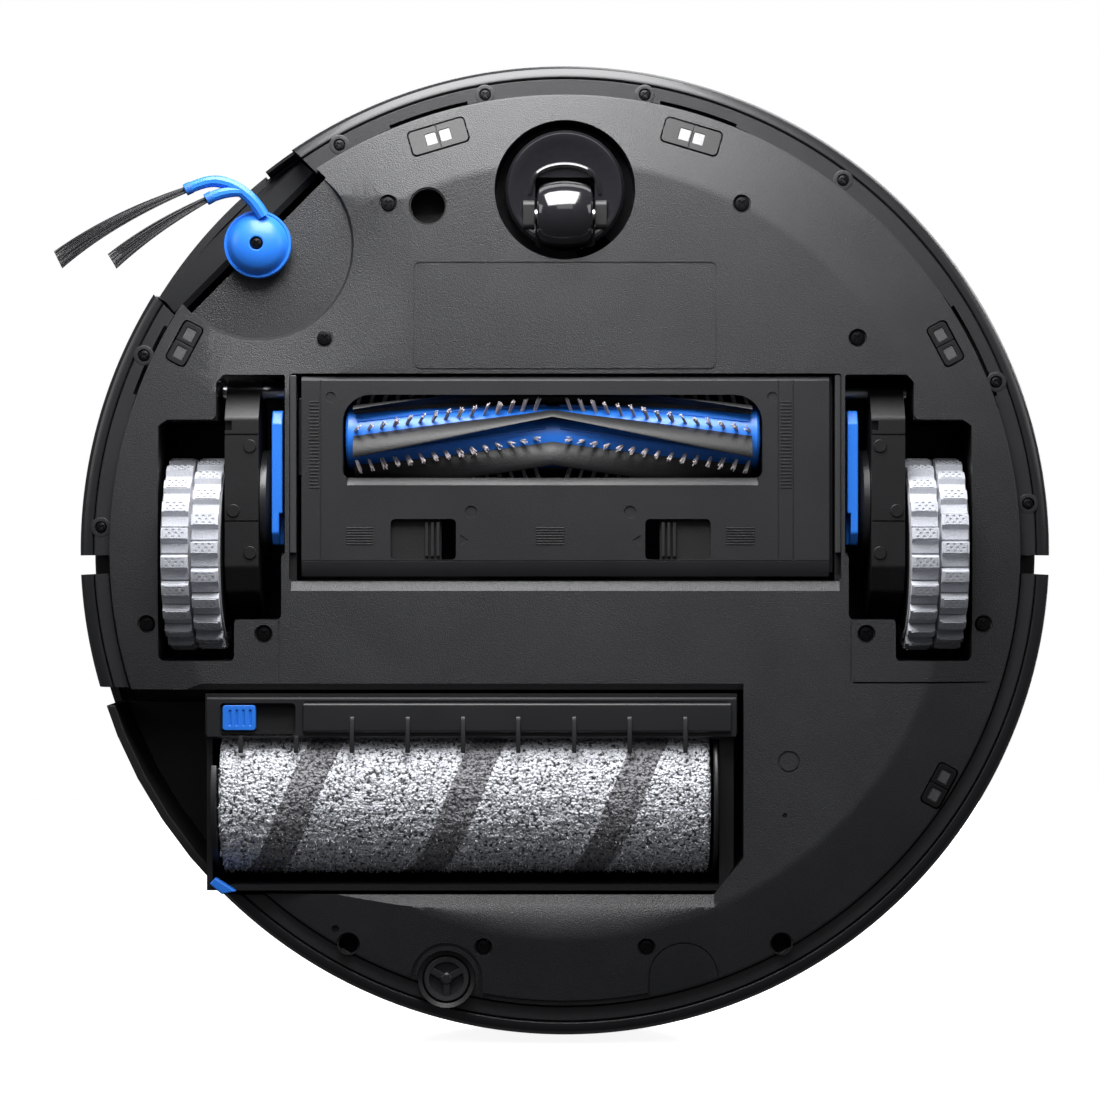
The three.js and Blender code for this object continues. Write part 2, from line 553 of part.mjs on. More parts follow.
// ---------- side brush ----------
function sideBrush() {
  const hub = turned([
    [0, 3.6], [4, 3.9], [8, 5], [10, 7], [10.6, 8.6], [HUB_R, 8.6], [HUB_R, 12], [9, 13.4], [0, 13.4],
  ], 32).add(post(3.5, [13, 30], 0, 0, 16))
    .subtract(post(2.4, [0, 6.2], 0, 0, 20));
  const long = [[2.4, -9.5, 6], [0.4, -13, 5.6], [-2.6, -16.6, 5.2], [-7.4, -20, 4.8], [-12.6, -22, 4.3],
    [-18, -22, 3.8], [-25, -18.6, 3.2]];
  const short = [[-5, -18, 4.6], [-9, -18.6, 4], [-13.6, -17.4, 3.6], [-17.6, -15.2, 3.2]];
  const hubClear = post(HUB_R + 0.2, [8.4, 20]).add(turned([
    [0, 3.2], [4, 3.5], [8, 4.6], [10.3, 6.8], [11, 8.4], [0, 8.4],
  ], 32));
  const arm = tube(long, 2.4, 14).add(tube(short, 2.1, 6)).subtract(hubClear);
  const tuft = (points) => tube(points, 1, 8, 6);
  const longTuft = tuft([
    [-25.6, -18.1, 2.9], [-38, -13.5, 2.4], [-53, -7, 2.1], [-66, 2, 2.1], [-70.4, 6, 2.1],
  ]);
  const shortTuft = tuft([[-18.2, -14.8, 2.9], [-29, -10.6, 2.4], [-40, -5, 2.1], [-50.6, 6.2, 2.1]]);
  return assembly([
    piece('side_brush_hub', hub, BLUE),
    piece('side_brush_arm', arm, BLUE),
    piece('side_brush_tuft_long', longTuft, BRISTLE),
    piece('side_brush_tuft_short', shortTuft, BRISTLE),
    piece('side_brush_screw', post(2.1, [4.2, 5.9], 0, 0, 16), STEEL),
    piece('side_brush_motor', post(10.6, [BELLY_Z + 22, 60], 0, 0, 32), BLACK),
  ], [SIDE_X, SIDE_Y, 0]);
}

// ---------- roller mop ----------
const CARRIAGE_X = [-127.4, 60];
const CARRIAGE_Y = [MOP_BAY_Y[0] + 1.4, MOP_BAY_Y[1] - 1.4];
const BAR_TOP = 12; // underside of the carriage's frame
const BAR_REAR = MOP_Y - Math.sqrt(MOP_R ** 2 - (MOP_Z - BAR_TOP) ** 2) - 1.05; // clear of the nap

function mopCarriage() {
  const [front, rear] = CARRIAGE_Y;
  const top = MOP_BAY_TOP - 1.2;
  const low = BAR_TOP;
  let frame = block(CARRIAGE_X, CARRIAGE_Y, [low, top]);
  const inner = [CARRIAGE_X[0] + 2, MOP_X[1] + 3.4];
  frame = frame.subtract(block(inner, [front + 2, rear - 2], [-5, top - 2]));
  const bar = block([CARRIAGE_X[0], CARRIAGE_X[1] + 1], [front, BAR_REAR], [7, low + 0.01]);
  const buttonSlot = block([-121.6, -94.6], [front + 3.6, BAR_REAR - 1.1], [0, 10]);
  frame = frame.add(bar).subtract(buttonSlot);
  frame = frame.subtract(rod(3.6, [CARRIAGE_X[0] - 1, MOP_X[1] + 8], MOP_Y, MOP_Z));
  frame = frame.intersect(mopBay(GAP - 1.4, [0, 100]));
  return piece('mop_carriage', frame, BLACK);
}

/** Ribs that comb the nap, on a bar screwed under the carriage. */
function mopComb() {
  const barX = [-93, CARRIAGE_X[1] - 1];
  let comb = block(barX, [CARRIAGE_Y[0] + 2.6, BAR_REAR - 0.7], [4.8, 7 - GAP]);
  for (let i = 0; i < 7; i += 1) {
    const x = 42.6 - i * RIB_PITCH;
    const rib = [[-5.3, 4.8], [0.7, 3.4], [6.3, 3.4], [6.3, 4.6], [-0.7, 6.6], [-5.3, 6.6]]
      .map(([y, z]) => [BAR_REAR + y, z]);
    comb = comb.add(prismX(rib, [x - 0.7, x + 0.7]));
  }
  return piece('mop_comb', comb, SHELL);
}

function mopSkirt() {
  const out = BODY_R - RING_WALL;
  const wall = turned([[out - 3, 20], [out, 20], [out, MOP_BAY_TOP - 2], [out - 3, MOP_BAY_TOP - 2]])
    .intersect(block([-BIG, CARRIAGE_X[0] - GAP], [MOP_BAY_Y[0] + 6, MOP_BAY_Y[1] - 5], [0, 100]));
  const [under, over] = [MOP_BAY_TOP - 5.6, MOP_BAY_TOP - 3.2];
  const shelf = turned([[0, under], [out, under], [out, over], [0, over]])
    .intersect(block([-BIG, CARRIAGE_X[0] - GAP], [MOP_BAY_Y[0] + 6, MOP_BAY_Y[1] - 5], [0, 100]));
  return piece('mop_skirt', wall.add(shelf), BLACK);
}

function mopRoller() {
  const half = (MOP_X[1] - MOP_X[0]) / 2;
  const core = rod(MOP_CORE_R, [-half - 0.8, half + 0.8], 0, 0, 40)
    .add(rod(3.2, [-half - 4, half + 5], 0, 0, 20));
  const nap = rod(MOP_R, [-half, half], 0, 0, 48).subtract(rod(MOP_CORE_R + GAP, [-200, 200], 0, 0, 40));
  const place = [(MOP_X[0] + MOP_X[1]) / 2, MOP_Y, MOP_Z];
  return assembly([piece('mop_core', core, BLACK), piece('mop_nap', nap, NAP)], place);
}

function mopUnit() {
  const [front, rear] = CARRIAGE_Y;
  const button = block([-121.2, -109.5], [front + 4, BAR_REAR - 1.5], [5.6, 9.4]);
  const corners = [[-124, -4.9], [-116.6, -0.1], [-121.6, 0.9], [-126, -2.7]];
  const tab = prism(corners.map(([x, y]) => [x, rear + y]), [7, 12 - GAP]);
  return [
    mopCarriage(), mopComb(), mopSkirt(), mopRoller(),
    piece('mop_release_button', button, BLUE),
    piece('mop_tab', tab, BLUE),
  ];
}

// ---------- top and insides ----------
const TURRET_Y = 76;
const TURRET_R = 38;

function turret() {
  let base = post(TURRET_R, [DECK_Z + GAP, DECK_Z + 3], 0, 0, 40);
  for (const turn of [30, 150, 270]) {
    const column = block([-5, 5], [TURRET_R - 5, TURRET_R - 1.5], [DECK_Z + 2, DECK_Z + 11]);
    base = base.add(column.rotate([0, 0, turn]));
  }
  const cap = turned([
    [0, DECK_Z + 11.3], [TURRET_R, DECK_Z + 11.3], [TURRET_R, DECK_Z + 12.6],
    [TURRET_R - 2, DECK_Z + 13.8], [TURRET_R - 8, DECK_Z + 14], [0, DECK_Z + 14],
  ], 40);
  const [low, high] = [DECK_Z + 3.4, DECK_Z + 10.6];
  const rotor = turned([[0, low], [26, low], [26, high], [0, high]], 40)
    .subtract(block([14, 40], [-6, 6], [low + 1.6, high - 1.6]));
  return assembly([
    piece('turret_base', base, SHELL), piece('turret_cap', cap, GLOSS), piece('lidar_rotor', rotor, BLACK),
  ], [0, TURRET_Y, 0]);
}

function insides() {
  const binX = [-78, 78];
  const binY = [-60, 26];
  const binZ = [BAY_TOP + WALL + 1, DECK_Z - WALL - 3];
  const room = block(span(binX, -1.8), span(binY, -1.8), [binZ[0] + 1.8, 200]);
  const bin = block(binX, binY, binZ).subtract(room)
    .subtract(block(...DUCT, [0, binZ[0] + 3]));
  const filter = block([-40, 40], [14, 23.6], [binZ[0] + 2.2, binZ[1] - 1]);
  return [
    piece('dust_bin', bin, CLEAR),
    piece('bin_filter', filter, NAP),
    piece('battery', block([-50, 50], [-99, BAY_Y[0] - WALL - 0.6], [BELLY_Z + WALL + 1, 50]), CELL),
    piece('main_board', block([-45, 45], [-150, -104], [56, 58]), CELL),
    piece('suction_fan', post(22, [BELLY_Z + 7, 60], 92, 79, 40), BLACK),
    piece('clean_water_tank', block([-62, 62], [MOP_BAY_Y[1] + WALL + 1, 156], [24, 74]), CLEAR),
    piece('dirty_water_tank', block([-98, 60], [50, 120], [MOP_BAY_TOP + WALL + 1, DECK_Z - WALL - 1]),
      CLEAR),
    piece('power_button', post(BUTTON_R, [DECK_Z - 1.6, DECK_Z + 0.6], 0, BUTTON_Y), GLOSS),
  ];
}

// ---------- the whole object ----------
const vacuum = assembly([
  bottomCover(), sideShell(), topCover(), lid(), bumper(),
  piece('bumper_window', windowBand(0), GLOSS),
  ...bellyDetails(), brushGuard(), ...guardLatches(), mainBrush(), ...brushEnds(),
  driveUnit(-1), driveUnit(1), caster(), sideBrush(), ...mopUnit(), turret(), ...insides(),
]);

export default vacuum;
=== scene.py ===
"""Visual model of a robot vacuum with a roller mop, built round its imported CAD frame.

Lengths in the classes are millimetres in the frame of the part: +Z up from the floor, -Y towards
the bumper, +X away from the side brush. The workshop functions turn them into metres.
"""

import logging
import math
import random
from dataclasses import dataclass, field
from enum import Enum
from typing import Callable, Iterable, Sequence

import bpy
from mathutils import Matrix, Vector


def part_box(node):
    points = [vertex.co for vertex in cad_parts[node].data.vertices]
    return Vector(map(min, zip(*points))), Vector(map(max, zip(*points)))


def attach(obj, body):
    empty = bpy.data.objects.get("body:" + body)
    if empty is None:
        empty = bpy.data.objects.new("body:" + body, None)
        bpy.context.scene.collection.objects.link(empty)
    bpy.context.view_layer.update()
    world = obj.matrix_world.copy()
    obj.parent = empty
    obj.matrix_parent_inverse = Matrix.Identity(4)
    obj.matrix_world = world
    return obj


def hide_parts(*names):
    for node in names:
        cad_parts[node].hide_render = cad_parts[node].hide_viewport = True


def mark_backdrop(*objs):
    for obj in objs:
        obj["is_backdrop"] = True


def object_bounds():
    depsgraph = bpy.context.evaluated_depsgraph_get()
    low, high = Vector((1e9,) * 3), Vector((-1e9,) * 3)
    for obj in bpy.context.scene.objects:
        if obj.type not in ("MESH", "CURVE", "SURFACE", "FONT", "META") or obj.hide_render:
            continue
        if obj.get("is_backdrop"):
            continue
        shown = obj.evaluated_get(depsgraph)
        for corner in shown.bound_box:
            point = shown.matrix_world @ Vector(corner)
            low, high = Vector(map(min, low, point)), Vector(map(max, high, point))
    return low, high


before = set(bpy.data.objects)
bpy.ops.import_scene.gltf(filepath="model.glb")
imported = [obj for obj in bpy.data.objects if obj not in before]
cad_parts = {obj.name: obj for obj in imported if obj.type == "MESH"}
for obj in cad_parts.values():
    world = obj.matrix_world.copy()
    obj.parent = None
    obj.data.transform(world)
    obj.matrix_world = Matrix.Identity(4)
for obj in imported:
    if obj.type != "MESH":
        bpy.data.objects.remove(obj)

CAD_BOX = [list(corner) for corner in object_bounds()]
MM = 0.001
LOG = logging.getLogger("robot_vacuum")

Point = Sequence[float]
Outline = list[tuple[float, float]]


# ---------------------------------------------------------------- workshop
class Axis(Enum):
    """Direction a turned or drilled shape points in."""

    X = (1.0, 0.0, 0.0)
    Y = (0.0, 1.0, 0.0)
    Z = (0.0, 0.0, 1.0)


def clear_selection() -> None:
    """Leaves edit mode and selects nothing."""
    if bpy.context.object and bpy.context.object.mode != "OBJECT":
        bpy.ops.object.mode_set(mode="OBJECT")
    bpy.ops.object.select_all(action="DESELECT")


def pick(piece: bpy.types.Object) -> None:
    """Makes one object the only selected and active one."""
    clear_selection()
    piece.select_set(True)
    bpy.context.view_layer.objects.active = piece


def settle(piece: bpy.types.Object, name: str) -> bpy.types.Object:
    """Names a new primitive and puts its place into its mesh."""
    piece.name = name
    piece.data.name = name
    pick(piece)
    bpy.ops.object.transform_apply(location=True, rotation=True, scale=True)
    return piece


def block(name: str, low: Point, high: Point) -> bpy.types.Object:
    """Adds a box between two corners.

    Args:
        name: Name of the object.
        low: Lowest corner in millimetres.
        high: Highest corner in millimetres.

    Returns:
        The new object.
    """
    clear_selection()
    middle = [(a + b) / 2 * MM for a, b in zip(low, high)]
    size = [abs(b - a) * MM for a, b in zip(low, high)]
    bpy.ops.mesh.primitive_cube_add(size=1, location=middle, scale=size)
    return settle(bpy.context.object, name)


def rod(name: str, radius: float, start: Point, end: Point, sides: int = 48,
        end_radius: float | None = None) -> bpy.types.Object:
    """Adds a cylinder or cone between two points.

    Args:
        name: Name of the object.
        radius: Radius at the start.
        start: Middle of the first end.
        end: Middle of the other end.
        sides: Number of facets.
        end_radius: Radius at the other end, or None for the same.

    Returns:
        The new object.
    """
    clear_selection()
    a, b = Vector(start) * MM, Vector(end) * MM
    turn = (b - a).to_track_quat("Z", "Y").to_euler()
    other = radius if end_radius is None else end_radius
    bpy.ops.mesh.primitive_cone_add(vertices=sides, radius1=radius * MM, radius2=other * MM,
                                    depth=(b - a).length, location=(a + b) / 2, rotation=turn)
    return settle(bpy.context.object, name)


def wire_loop(name: str, corners: Sequence[Point], fill: str) -> bpy.types.Object:
    """Adds a closed loop of corners, filled or not, from a circle primitive."""
    clear_selection()
    bpy.ops.mesh.primitive_circle_add(vertices=len(corners), radius=1, fill_type=fill)
    piece = bpy.context.object
    for vertex, corner in zip(piece.data.vertices, corners):
        vertex.co = Vector(corner) * MM
    return settle(piece, name)


def tidy_shell(piece: bpy.types.Object) -> None:
    """Merges doubles, drops empty faces and turns the normals outwards."""
    pick(piece)
    bpy.ops.object.mode_set(mode="EDIT")
    bpy.ops.mesh.select_all(action="SELECT")
    bpy.ops.mesh.remove_doubles(threshold=1e-6)
    bpy.ops.mesh.dissolve_degenerate(threshold=1e-7)
    bpy.ops.mesh.normals_make_consistent(inside=False)
    bpy.ops.object.mode_set(mode="OBJECT")


def plate(name: str, outline: Outline, heights: tuple[float, float]) -> bpy.types.Object:
    """Extrudes an XY outline between two heights."""
    low, high = heights
    piece = wire_loop(name, [(x, y, low) for x, y in outline], "NGON")
    pick(piece)
    bpy.ops.object.mode_set(mode="EDIT")
    bpy.ops.mesh.select_all(action="SELECT")
    bpy.ops.mesh.extrude_region_move(TRANSFORM_OT_translate={"value": (0, 0, (high - low) * MM)})
    bpy.ops.object.mode_set(mode="OBJECT")
    tidy_shell(piece)
    return piece


def side_plate(name: str, outline: Outline, span: tuple[float, float]) -> bpy.types.Object:
    """Extrudes a YZ outline between two x values."""
    low, high = span
    piece = wire_loop(name, [(low, y, z) for y, z in outline], "NGON")
    pick(piece)
    bpy.ops.object.mode_set(mode="EDIT")
    bpy.ops.mesh.select_all(action="SELECT")
    bpy.ops.mesh.extrude_region_move(TRANSFORM_OT_translate={"value": ((high - low) * MM, 0, 0)})
    bpy.ops.object.mode_set(mode="OBJECT")
    tidy_shell(piece)
    return piece


def lathe(name: str, profile: Outline, centre: Point = (0, 0, 0), axis: Axis = Axis.Z,
          steps: int = 96) -> bpy.types.Object:
    """Spins a profile of (radius, height) about an axis through a centre.

    Args:
        name: Name of the object.
        profile: Closed ring profile, or one whose two ends lie on the axis.
        centre: Point that the profile's origin sits at.
        axis: Direction of the heights.
        steps: Number of facets round the turn.

    Returns:
        The new, closed object.
    """
    along = Vector(axis.value)
    out = Vector((0, 0, 1)) if axis is not Axis.Z else Vector((1, 0, 0))
    middle = Vector(centre)
    corners = [middle + out * r + along * h for r, h in profile]
    piece = wire_loop(name, corners, "NOTHING")
    pick(piece)
    if profile[0][0] == 0 and profile[-1][0] == 0:
        ends = {0, len(profile) - 1}
        for edge in piece.data.edges:
            edge.select = set(edge.vertices) == ends
        bpy.ops.object.mode_set(mode="EDIT")
        bpy.ops.mesh.select_mode(type="EDGE")
        bpy.ops.object.mode_set(mode="OBJECT")
        for vertex in piece.data.vertices:
            vertex.select = False
        for edge in piece.data.edges:
            edge.select = set(edge.vertices) == ends
        bpy.ops.object.mode_set(mode="EDIT")
        bpy.ops.mesh.delete(type="EDGE_FACE")
        bpy.ops.mesh.select_mode(type="VERT")
    else:
        bpy.ops.object.mode_set(mode="EDIT")
    bpy.ops.mesh.select_all(action="SELECT")
    bpy.ops.mesh.spin(steps=steps, angle=2 * math.pi, center=middle * MM, axis=along)
    bpy.ops.object.mode_set(mode="OBJECT")
    tidy_shell(piece)
    return piece


def filleted(corners: Outline, radii: float | Sequence[float], steps: int = 5) -> Outline:
    """Rounds the corners of a closed outline.

    Args:
        corners: The sharp outline.
        radii: One radius for all corners, or one for each.
        steps: Points on each arc.

    Returns:
        The outline with arcs in place of its corners.
    """
    count = len(corners)
    sizes = [radii] * count if isinstance(radii, (int, float)) else list(radii)
    result: Outline = []
    for i, (corner, radius) in enumerate(zip(corners, sizes)):
        here = Vector(corner)
        before = (Vector(corners[i - 1]) - here).normalized()
        after = (Vector(corners[(i + 1) % count]) - here).normalized()
        half = before.angle(after) / 2
        if radius <= 0 or half > math.radians(89):
            result.append((here.x, here.y))
            continue
        reach = radius / math.tan(half)
        middle = here + (before + after).normalized() * (radius / math.sin(half))
        first = here + before * reach - middle
        turn = first.angle_signed(here + after * reach - middle)
        for step in range(steps + 1):
            spoke = first.copy()
            spoke.rotate(Matrix.Rotation(-turn * step / steps, 2))
            result.append((middle.x + spoke.x, middle.y + spoke.y))
    return result


def rectangle(x: Point, y: Point, radius: float = 0.0, steps: int = 5) -> Outline:
    """Outline of a rectangle between two x and two y values, with rounded corners."""
    corners = [(x[0], y[0]), (x[1], y[0]), (x[1], y[1]), (x[0], y[1])]
    return filleted(corners, radius, steps)


def ring_outline(centre: Point, radius: float, start: float, end: float, steps: int) -> Outline:
    """Points on an arc, angles in degrees."""
    angles = [math.radians(start + (end - start) * i / steps) for i in range(steps + 1)]
    return [(centre[0] + radius * math.cos(a), centre[1] + radius * math.sin(a)) for a in angles]


def apply_modifier(piece: bpy.types.Object, kind: str, **settings: object) -> None:
    """Adds a modifier with settings and applies it."""
    pick(piece)
    modifier = piece.modifiers.new(kind.title(), kind)
    for key, value in settings.items():
        setattr(modifier, key, value)
    bpy.ops.object.modifier_apply(modifier=modifier.name)


def bevel(piece: bpy.types.Object, width: float, segments: int = 2,
          angle: float = 35) -> bpy.types.Object:
    """Rounds the edges sharper than an angle in degrees."""
    apply_modifier(piece, "BEVEL", width=width * MM, segments=segments, limit_method="ANGLE",
                   angle_limit=math.radians(angle), use_clamp_overlap=True)
    return piece


def cut(piece: bpy.types.Object, *cutters: bpy.types.Object) -> bpy.types.Object:
    """Takes the cutters out of a piece and throws them away."""
    for cutter in cutters:
        apply_modifier(piece, "BOOLEAN", operation="DIFFERENCE", solver="EXACT", object=cutter)
        bpy.data.objects.remove(cutter)
    return piece


def keep_common(piece: bpy.types.Object, other: bpy.types.Object) -> bpy.types.Object:
    """Keeps only what a piece shares with another, which is thrown away."""
    apply_modifier(piece, "BOOLEAN", operation="INTERSECT", solver="EXACT", object=other)
    bpy.data.objects.remove(other)
    return piece


def join(name: str, pieces: Iterable[bpy.types.Object]) -> bpy.types.Object:
    """Joins separate closed shells into one object."""
    group = list(pieces)
    clear_selection()
    for piece in group:
        piece.select_set(True)
    bpy.context.view_layer.objects.active = group[0]
    if len(group) > 1:
        bpy.ops.object.join()
    group[0].name = name
    group[0].data.name = name
    return group[0]


def copied(piece: bpy.types.Object, name: str, move: Matrix) -> bpy.types.Object:
    """Copies a piece with its own mesh, moved by a matrix in millimetres."""
    clone = piece.copy()
    clone.data = piece.data.copy()
    bpy.context.scene.collection.objects.link(clone)
    clone.name = name
    scale = Matrix.Diagonal((MM, MM, MM, 1))
    clone.data.transform(scale @ move @ scale.inverted())
    if move.determinant() < 0:
        clone.data.flip_normals()
    clone.data.update()
    return clone


def about(axis: str, degrees: float, centre: Point) -> Matrix:
    """Matrix that turns about an axis through a point, in millimetres."""
    shift = Matrix.Translation(Vector(centre))
    return shift @ Matrix.Rotation(math.radians(degrees), 4, axis) @ shift.inverted()


def reshaped(piece: bpy.types.Object, move: Callable[[Vector], Vector]) -> bpy.types.Object:
    """Moves every vertex by a function of its place in millimetres."""
    for vertex in piece.data.vertices:
        vertex.co = move(vertex.co / MM) * MM
    piece.data.update()
    return piece


def tube(name: str, points: Sequence[Point], radius: float | Sequence[float], sides: int = 12,
         smooth: bool = True) -> bpy.types.Object:
    """Sweeps a round section along a path and makes it a closed mesh.

    Args:
        name: Name of the object.
        points: Path in millimetres.
        radius: One radius, or one for each point.
        sides: Facets round the section.
        smooth: Whether the path is a smooth curve through the points.

    Returns:
        The new mesh object.
    """
    radii = [radius] * len(points) if isinstance(radius, (int, float)) else list(radius)
    curve = bpy.data.curves.new(name, "CURVE")
    curve.dimensions = "3D"
    curve.bevel_depth = MM
    curve.bevel_resolution = max(0, sides // 4 - 1)
    curve.use_fill_caps = True
    spline = curve.splines.new("NURBS" if smooth else "POLY")
    spline.points.add(len(points) - 1)
    for knot, point, size in zip(spline.points, points, radii):
        knot.co = (*[c * MM for c in point], 1)
        knot.radius = size
    if smooth:
        spline.use_endpoint_u = True
        spline.order_u = 4
        spline.resolution_u = 5
    holder = bpy.data.objects.new(name, curve)
    bpy.context.scene.collection.objects.link(holder)
    pick(holder)
    bpy.ops.object.convert(target="MESH")
    tidy_shell(holder)
    return holder


def rework(node: str, name: str) -> bpy.types.Object:
    """Copies a CAD node's mesh, merges it into one surface and clears its flat edges."""
    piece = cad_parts[node].copy()
    piece.data = piece.data.copy()
    piece.parent = None
    for key in list(piece.keys()):
        del piece[key]
    bpy.context.scene.collection.objects.link(piece)
    piece.hide_viewport = piece.hide_render = False
    piece.hide_set(False)
    piece.name = name
    tidy_shell(piece)
    bpy.ops.object.mode_set(mode="EDIT")
    bpy.ops.mesh.select_all(action="SELECT")
    bpy.ops.mesh.dissolve_limited(angle_limit=math.radians(1))
    bpy.ops.object.mode_set(mode="OBJECT")
    return piece


def scattered(name: str, template: bpy.types.Object, moves: Sequence[Matrix]) -> bpy.types.Object:
    """Copies a template many times into one mesh object and removes the template.

    Args:
        name: Name of the object.
        template: A closed mesh of a few faces, in metres.
        moves: One matrix in millimetres for each copy.

    Returns:
        The joined object.
    """
    corners = [vertex.co / MM for vertex in template.data.vertices]
    faces = [tuple(polygon.vertices) for polygon in template.data.polygons]
    places, polygons = [], []
    for move in moves:
        first = len(places)
        places.extend((move @ corner) * MM for corner in corners)
        polygons.extend(tuple(first + i for i in face) for face in faces)
    mesh = bpy.data.meshes.new(name)
    mesh.from_pydata([tuple(p) for p in places], [], polygons)
    mesh.validate()
    piece = bpy.data.objects.new(name, mesh)
    bpy.context.scene.collection.objects.link(piece)
    bpy.data.objects.remove(template)
    return piece


def smooth(piece: bpy.types.Object, angle: float = 32) -> bpy.types.Object:
    """Shades a piece smoothly except over edges sharper than an angle in degrees."""
    pick(piece)
    bpy.ops.object.shade_smooth_by_angle(angle=math.radians(angle))
    return piece


# ---------------------------------------------------------------- finishes
class Nodes:
    """Small helper that adds and links nodes in one node tree."""

    def __init__(self, tree: bpy.types.NodeTree) -> None:
        """Starts with an existing tree."""
        self.tree = tree

    def add(self, kind: str, **settings: object) -> bpy.types.Node:
        """Adds a node; settings are its properties."""
        node = self.tree.nodes.new(kind)
        for key, value in settings.items():
            setattr(node, key, value)
        return node

    def link(self, source: bpy.types.NodeSocket, target: bpy.types.NodeSocket) -> None:
        """Links two sockets."""
        self.tree.links.new(source, target)


def new_group(name: str, inputs: dict[str, tuple[str, object]],
              outputs: dict[str, str]) -> tuple[Nodes, bpy.types.Node, bpy.types.Node]:
    """Makes a shader node group with named sockets.

    Args:
        name: Name of the group.
        inputs: Socket name to socket kind and default value.
        outputs: Socket name to socket kind.

    Returns:
        The helper, the group's input node and its output node.
    """
    group = bpy.data.node_groups.new(name, "ShaderNodeTree")
    for label, (kind, value) in inputs.items():
        socket = group.interface.new_socket(label, in_out="INPUT", socket_type=kind)
        if value is not None:
            socket.default_value = value
    for label, kind in outputs.items():
        group.interface.new_socket(label, in_out="OUTPUT", socket_type=kind)
    nodes = Nodes(group)
    return nodes, nodes.add("NodeGroupInput"), nodes.add("NodeGroupOutput")


def moulded_group() -> bpy.types.NodeTree:
    """Colour, roughness and relief of a moulded plastic skin, with handling marks."""
    nodes, source, result = new_group("moulded_skin", {
        "Vector": ("NodeSocketVector", None),
        "Colour": ("NodeSocketColor", (0.1, 0.1, 0.1, 1)),
        "Tint": ("NodeSocketColor", (0.12, 0.12, 0.12, 1)),
        "Roughness": ("NodeSocketFloat", 0.5),
        "Spread": ("NodeSocketFloat", 0.1),
        "Grain scale": ("NodeSocketFloat", 1500.0),
    }, {"Colour": "NodeSocketColor", "Roughness": "NodeSocketFloat", "Height": "NodeSocketFloat"})
    patches = nodes.add("ShaderNodeTexNoise")
    patches.inputs["Scale"].default_value = 38
    patches.inputs["Detail"].default_value = 5
    nodes.link(source.outputs["Vector"], patches.inputs["Vector"])
    cells = nodes.add("ShaderNodeTexVoronoi", feature="SMOOTH_F1")
    nodes.link(source.outputs["Vector"], cells.inputs["Vector"])
    nodes.link(source.outputs["Grain scale"], cells.inputs["Scale"])
    fine = nodes.add("ShaderNodeTexNoise")
    fine.inputs["Detail"].default_value = 3
    nodes.link(source.outputs["Vector"], fine.inputs["Vector"])
    nodes.link(source.outputs["Grain scale"], fine.inputs["Scale"])
    speck = nodes.add("ShaderNodeMath", operation="MULTIPLY_ADD")
    speck.inputs[1].default_value = 2.4
    nodes.link(fine.outputs["Fac"], speck.inputs[0])
    nodes.link(patches.outputs["Fac"], speck.inputs[2])
    shade = nodes.add("ShaderNodeMapRange")
    shade.inputs["From Min"].default_value = 1.2
    shade.inputs["From Max"].default_value = 2.3
    nodes.link(speck.outputs[0], shade.inputs["Value"])
    mix = nodes.add("ShaderNodeMix", data_type="RGBA")
    nodes.link(shade.outputs["Result"], mix.inputs["Factor"])
    nodes.link(source.outputs["Colour"], mix.inputs[6])
    nodes.link(source.outputs["Tint"], mix.inputs[7])
    nodes.link(mix.outputs[2], result.inputs["Colour"])
    gloss = nodes.add("ShaderNodeMath", operation="MULTIPLY_ADD")
    nodes.link(patches.outputs["Fac"], gloss.inputs[0])
    nodes.link(source.outputs["Spread"], gloss.inputs[1])
    nodes.link(source.outputs["Roughness"], gloss.inputs[2])
    nodes.link(gloss.outputs[0], result.inputs["Roughness"])
    relief = nodes.add("ShaderNodeMath", operation="MULTIPLY_ADD")
    relief.inputs[1].default_value = 0.6
    nodes.link(cells.outputs["Distance"], relief.inputs[0])
    nodes.link(fine.outputs["Fac"], relief.inputs[2])
    nodes.link(relief.outputs[0], result.inputs["Height"])
    return nodes.tree


@dataclass(frozen=True)
class Moulding:
    """A moulded finish: plastic, rubber, paint or metal with a fine skin."""

    name: str
    colour: tuple[float, float, float]
    tint: tuple[float, float, float]
    roughness: float
    spread: float = 0.08
    grain: float = 1500.0
    relief: float = 0.15
    metal: float = 0.0
    coat: float = 0.0
    slot: str = "shell"

    def build(self, skin: bpy.types.NodeTree) -> bpy.types.Material:
        """Makes the material round the shared skin group."""
        material = bpy.data.materials.new(self.name)
        material.use_nodes = True
        nodes = Nodes(material.node_tree)
        shader = material.node_tree.nodes["Principled BSDF"]
        place = nodes.add("ShaderNodeTexCoord")
        group = nodes.add("ShaderNodeGroup")
        group.node_tree = skin
        nodes.link(place.outputs["Object"], group.inputs["Vector"])
        group.inputs["Colour"].default_value = (*self.colour, 1)
        group.inputs["Tint"].default_value = (*self.tint, 1)
        group.inputs["Roughness"].default_value = self.roughness
        group.inputs["Spread"].default_value = self.spread
        group.inputs["Grain scale"].default_value = self.grain
        nodes.link(group.outputs["Colour"], shader.inputs["Base Color"])
        nodes.link(group.outputs["Roughness"], shader.inputs["Roughness"])
        bump = nodes.add("ShaderNodeBump")
        bump.inputs["Strength"].default_value = self.relief
        bump.inputs["Distance"].default_value = 0.0004
        nodes.link(group.outputs["Height"], bump.inputs["Height"])
        nodes.link(bump.outputs["Normal"], shader.inputs["Normal"])
        shader.inputs["Metallic"].default_value = self.metal
        shader.inputs["Coat Weight"].default_value = self.coat
        return material


